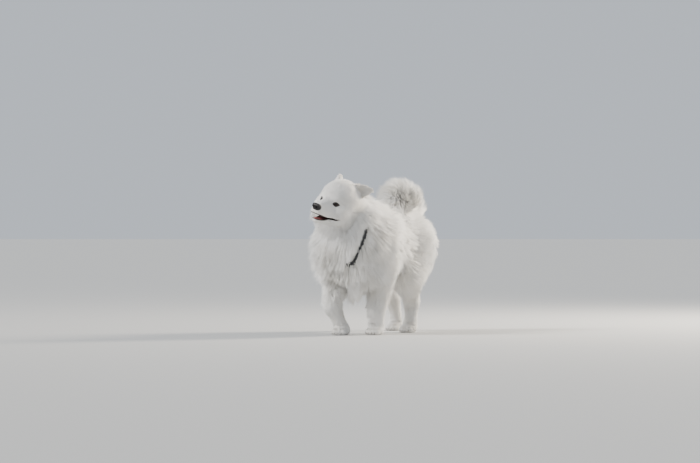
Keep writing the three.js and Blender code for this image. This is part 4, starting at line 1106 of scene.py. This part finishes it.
# Tufts
LONG_RINGS = ((0.0, 0.8), (0.34, 1.0), (0.7, 0.62))  # places along a tuft, and its width there
SHORT_RINGS = ((0.0, 1.0), (0.5, 0.8))
LAYERS = (  # spacing, height, width in spacings, and how strongly gathered
    dict(spread=1.5, share=0.72, wide=2.1, pull=0.15, rings=SHORT_RINGS),
    dict(spread=1.16, share=0.94, wide=0.95, pull=0.36, rings=LONG_RINGS),
    dict(spread=1.55, share=1.0, wide=0.36, pull=0.25, rings=SHORT_RINGS),
)
GUIDE_EVERY = 14  # tufts to one that the others are gathered to
THICKNESS = 0.42  # of a tuft, as a share of its width
CUTS = (0.12, 0.24, 0.36, 0.48, 0.6, 0.72, 0.84, 0.93, 1.0)  # where a tuft may be ended
WAVES = rng.normal(size=(3, 7, 3)), rng.uniform(0, 2 * math.pi, (3, 7))


def swirl(points, scale):
    """A smooth wandering vector at each place, about 1 long."""
    ways, starts = WAVES
    phase = np.einsum("nd,ckd->nck", points / scale, ways) + starts
    return np.sin(phase).sum(axis=2) / 2.2


def spacing_for(depth):
    return np.interp(depth, (2, 5, 12, 30, 60), (1.5, 1.9, 2.8, 3.7, 4.2))


def lean_for(depth):
    """How far a tuft reaches along the skin, in coat depths: short fur lies flat."""
    return np.interp(depth, (3, 8, 20, 45, 80), (2.4, 1.9, 1.35, 1.05, 0.95))


def spread_roots(triangles, spacing):
    """Roots scattered evenly over triangles, one to each square of the given spacing."""
    sides = triangles[:, 1:] - triangles[:, :1]
    area = length(np.cross(sides[:, 0], sides[:, 1])) / 2
    share = np.cumsum(area / spacing**2)
    count = int(share[-1])
    picked = np.searchsorted(share, (np.arange(count) + rng.uniform(0, 1, count)) * share[-1] / count)
    picked = np.minimum(picked, len(area) - 1)
    a, b = rng.uniform(0, 1, (2, count, 1))
    fold = a + b > 1
    a, b = np.where(fold, 1 - a, a), np.where(fold, 1 - b, b)
    return triangles[picked, 0] + a * sides[picked, 0] + b * sides[picked, 1]


def tuft_paths(roots, share):
    """Root, middle and tip of each tuft; the tips stand at the coat's own depth over the skin."""
    out = slope(skin_distance, roots, 2.0)
    lie, depth, further = lie_and_depth(roots)
    along = square_to(out, lie)
    turn = 0.34 * swirl(roots, 52)[:, 0] + 0.2 * swirl(roots + 400, 17)[:, 1]
    turn = (turn + rng.normal(0, 0.12, len(roots)))[:, None]
    along = along * np.cos(turn) + np.cross(out, along) * np.sin(turn)
    rough = 1 + 0.1 * swirl(roots + 900, 38)[:, 2] + 0.08 * swirl(roots + 1300, 13)[:, 0]
    rough += rng.normal(0, 0.065, len(roots))
    height = depth * share * np.clip(rough, 0.6, 1.2)
    reach = height * lean_for(depth) * further * rng.uniform(0.85, 1.15, len(roots))
    tip = roots + out * height[:, None] + along * reach[:, None]
    field = skin_distance if on_ears(roots[:40]).mean() > 0.5 else flesh
    for _ in range(2):
        short = height - field(tip)
        tip = tip + slope(field, tip, 3.0) * np.clip(short, -0.7 * height, 0.7 * height)[:, None]
    middle = roots + (tip - roots) * 0.42 + out * (height * 0.24)[:, None]
    return dict(root=roots - out * 1.2, middle=middle, tip=tip, out=out, depth=depth)


def curve_at(paths, s):
    a, b, c = paths["root"], paths["middle"], paths["tip"]
    place = a * (1 - s) ** 2 + b * 2 * s * (1 - s) + c * s * s
    return place, unit((b - a) * (1 - s) + (c - b) * s)


def tree_of(places):
    tree = kdtree.KDTree(len(places))
    for i, place in enumerate(places):
        tree.insert(Vector(place), i)
    tree.balance()
    return tree


def gathered(paths, pull):
    """Draws the tips of neighbouring tufts together into locks."""
    root, tip = paths["root"], paths["tip"]
    guides = np.arange(0, len(root), GUIDE_EVERY)
    tree = tree_of(root[guides])
    nearest = np.array([guides[tree.find(Vector(p))[1]] for p in root])
    shift = (tip[nearest] + (root - root[nearest]) * 0.35 - tip) * pull
    return dict(paths, tip=tip + shift, middle=paths["middle"] + shift * 0.25)


def inside_solids(paths):
    """Draws the few tips that would pass the CAD model's box back inside it."""
    low, high = (in_layout(np.array(corner)) for corner in cad_box)
    slack = rng.uniform(0, 9, paths["tip"].shape)
    tip = np.clip(paths["tip"], low + slack, high - slack)
    tip[:, 2] = np.maximum(tip[:, 2], 1.0)
    return dict(paths, tip=tip)


CLEARED = 75.0  # how far over the strap the coat is looked at
STRAP_SHOWN, STRAP_OUT = STRAP[0][SHOWN], STRAP[2][SHOWN]
STRAP_TREE, RING_TREE, LIP_TREE = map(tree_of, (STRAP_SHOWN, RING_WAY, LIPS))


def over_face(points):
    """True where hair would cover an eye, the nose, the mouth or the lips."""
    local = to_head(points)
    hidden = (past_eyes(points) < 0.8) | (past_nose(points) < 0.5) | in_mouth(local, -0.6)
    x, y, z = local.T
    for i in np.flatnonzero((x > 30) & (np.abs(y) < 75) & (np.abs(z + 63) < 32)):
        hidden[i] |= LIP_TREE.find(Vector(points[i]))[2] < 4.2
    return hidden


def over_collar(points):
    """True where hair would cover the ring, or the part of the strap that shows."""
    hidden = np.zeros(len(points), bool)
    low, high = STRAP_SHOWN.min(0) - CLEARED, STRAP_SHOWN.max(0) + CLEARED
    for i in np.flatnonzero(((points > low) & (points < high)).all(1)):
        _, at, away = STRAP_TREE.find(Vector(points[i]))
        above = (points[i] - STRAP_SHOWN[at]) @ STRAP_OUT[at]
        aside = math.sqrt(max(0.0, away**2 - above**2))
        clear = np.interp(points[i][2], (330, 430), (3.4, 6.0)) + 0.17 * above
        over_ring = RING_TREE.find(Vector(points[i]))[2] < 6
        hidden[i] = (above > -2 and aside < clear and away < CLEARED - 3) or over_ring
    return hidden


def trimmed(paths, name):
    """Ends each tuft before the first place on its curve that hides a feature, and drops stubs."""
    reach = np.ones(len(paths["root"]))
    free = np.ones(len(reach), bool)
    for s in CUTS:
        places = curve_at(paths, s)[0][free]
        hidden = np.zeros(len(places), bool)
        if name in IN_HEAD:
            hidden |= over_face(places)
        if name in BY_STRAP:
            hidden |= over_collar(places)
        hit = np.flatnonzero(free)[hidden]
        reach[hit] = s - CUTS[0]
        free[hit] = False
    r = reach[:, None]
    root, middle = paths["root"], paths["middle"]
    cut = dict(paths, middle=root + (middle - root) * r, tip=curve_at(paths, r)[0])
    return {key: values[reach > 0.3] for key, values in cut.items()}


def tuft_faces(rings):
    """Triangles of one closed three-sided tuft, and which of them are on its underside."""
    faces, under = [], []
    for a in range(0, 3 * rings - 3, 3):
        for j in range(3):
            k = (j + 1) % 3
            faces += [(a + j, a + 3 + k, a + k), (a + j, a + 3 + j, a + 3 + k)]
            under += [j == 2] * 2
    last = 3 * rings - 3
    faces += [(last + j, last + 3, last + (j + 1) % 3) for j in range(3)] + [(0, 1, 2)]
    return np.array(faces), np.array(under + [False, False, True, True])


def tuft_arrays(paths, wide, rings):
    """Vertices, triangles, corner normals, roots and places on the patch, of tapering tufts."""
    count, per = len(paths["root"]), 3 * len(rings) + 1
    out = paths["out"]
    vertices, above, below = np.zeros((3, count, per, 3))
    patch = np.zeros((count, per, 2))
    for i, (s, share) in enumerate(rings):
        place, ahead = curve_at(paths, s)
        side = unit(np.cross(ahead, out))
        up = np.cross(side, ahead)
        width = (wide * share)[:, None]
        for at, (w, h) in enumerate(((0.5, 0), (0, THICKNESS), (-0.5, 0)), 3 * i):
            vertices[:, at] = place + side * w * width + up * h * width
            above[:, at] = out * 0.45 * (1 - s) + up + w * side + ahead * 0.9 * s
            below[:, at] = w * side - up + ahead * 0.9 * s
            patch[:, at] = (w, s - 0.5)
    vertices[:, -1] = paths["tip"]
    above[:, -1], below[:, -1] = above[:, -3], below[:, -2] + below[:, -4]
    patch[:, -1] = (0, 0.5)
    faces, under = tuft_faces(len(rings))
    normals = np.where(under[None, :, None, None], below[:, faces], above[:, faces])
    faces = faces[None] + (np.arange(count) * per)[:, None, None]
    return (vertices.reshape(-1, 3), faces.reshape(-1, 3), unit(normals).reshape(-1, 3),
            np.repeat(paths["root"], per, axis=0), patch.reshape(-1, 2))


def coat_object(name, groups):
    """One mesh from several groups of tufts; OFBake holds each tuft as a patch at its root's place."""
    starts = np.cumsum([0] + [len(group[0]) for group in groups])
    vertices, normals, roots, patch = (np.concatenate([group[k] for group in groups]) for k in (0, 2, 3, 4))
    faces = np.concatenate([group[1] + start for group, start in zip(groups, starts)])
    vertices[:, 2] = np.maximum(vertices[:, 2], LOW)
    obj = make_object("coat_" + name, metres(vertices), faces)
    where = np.clip(unwrap(roots, name) + PATCH * patch, 0, 1)
    obj.data.uv_layers.new(name="OFBake").data.foreach_set("uv", where[faces.ravel()].ravel())
    obj.data.normals_split_custom_set(normals)
    slot, material = ("ear_fur", COAT_EARS) if name == "ears" else ("coat", COAT_WHITE)
    dress(obj, slot, material)


def hairy_triangles():
    """The skin's triangles, but for the lids' edges, the mouth's inside, the nose and the soles."""
    mesh = skin.data
    mesh.calc_loop_triangles()
    triangles = in_layout(read(mesh.vertices, "co")[read(mesh.loop_triangles, "vertices", int)])
    middles = triangles.mean(1)
    bare = in_mouth(to_head(middles), 2.2) | (past_eyes(middles) < 1.4) | (past_nose(middles) < 0.6)
    return triangles[~bare & (middles[:, 2] >= 1.5)]


def grow_coat():
    triangles = hairy_triangles()
    middles = triangles.mean(1)
    names = region_of(middles)
    depth = lie_and_depth(middles)[1]
    for name, coat in COATS.items():
        mine = names == name
        spacing = coat.get("spacing", 1.0)
        groups = []
        for layer in LAYERS:
            roots = spread_roots(triangles[mine], spacing_for(depth[mine]) * layer["spread"] * spacing)
            paths = gathered(tuft_paths(roots, layer["share"]), layer["pull"] * coat.get("pull", 1.0))
            paths = trimmed(inside_solids(paths), name)
            wide = spacing_for(paths["depth"]) * layer["wide"] * spacing * coat.get("width", 1.0)
            wide *= rng.uniform(0.8, 1.2, len(wide))
            groups.append(tuft_arrays(paths, wide, layer["rings"]))
        coat_object(name, groups)


grow_coat()


# Camera, light and floor
CAMERA = dict(turn=27.4, aside=0.1247, height=0.457, away=12.0, lens=137.2)
LIT = (0, -0.1, 0.35)  # what the lights point at


def facing(way):
    return way.to_track_quat("-Z", "Y").to_euler()


def place_camera():
    """Level, a long way off and to the dog's right, as the picture was taken."""
    turn = math.radians(CAMERA["turn"])
    ahead = Vector((-math.sin(turn), math.cos(turn), 0))
    aim = Vector(STANCE / 1000) - ahead.cross((0, 0, 1)) * CAMERA["aside"]
    aim.z = CAMERA["height"]
    data = bpy.data.cameras.new("camera")
    data.lens, data.clip_end = CAMERA["lens"], 200
    camera = add_object("camera", data)
    camera.location = aim - ahead * CAMERA["away"]
    camera.rotation_euler = facing(ahead)
    bpy.context.scene.camera = camera


def add_light(kind, name, at, power, colour, **settings):
    data = bpy.data.lights.new(name, kind)
    data.energy, data.color = power, colour
    for key, value in settings.items():
        setattr(data, key, value)
    light = add_object(name, data)
    light.location = at
    light.rotation_euler = facing(Vector(LIT) - Vector(at))


def add_floor():
    disc = bmesh.new()
    bmesh.ops.create_circle(disc, cap_ends=True, segments=64, radius=150)
    mesh = bpy.data.meshes.new("floor")
    disc.to_mesh(mesh)
    mesh.materials.append(principled("floor_paint", (0.52, 0.52, 0.51), 0.9)[0])
    add_object("floor", mesh)


def light_scene():
    world = bpy.data.worlds.new("world")
    world.use_nodes = True
    background = world.node_tree.nodes["Background"]
    background.inputs["Color"].default_value = (0.76, 0.82, 0.90, 1)
    background.inputs["Strength"].default_value = 0.8
    bpy.context.scene.world = world
    add_light("SUN", "key", (-3.0, -3.2, 3.6), 3.7, (1.0, 0.97, 0.93), angle=math.radians(18))
    add_light("AREA", "rim", (2.4, 3.2, 2.4), 420, (1.0, 0.90, 0.76), shape="DISK", size=1.2)


add_floor()
light_scene()
place_camera()
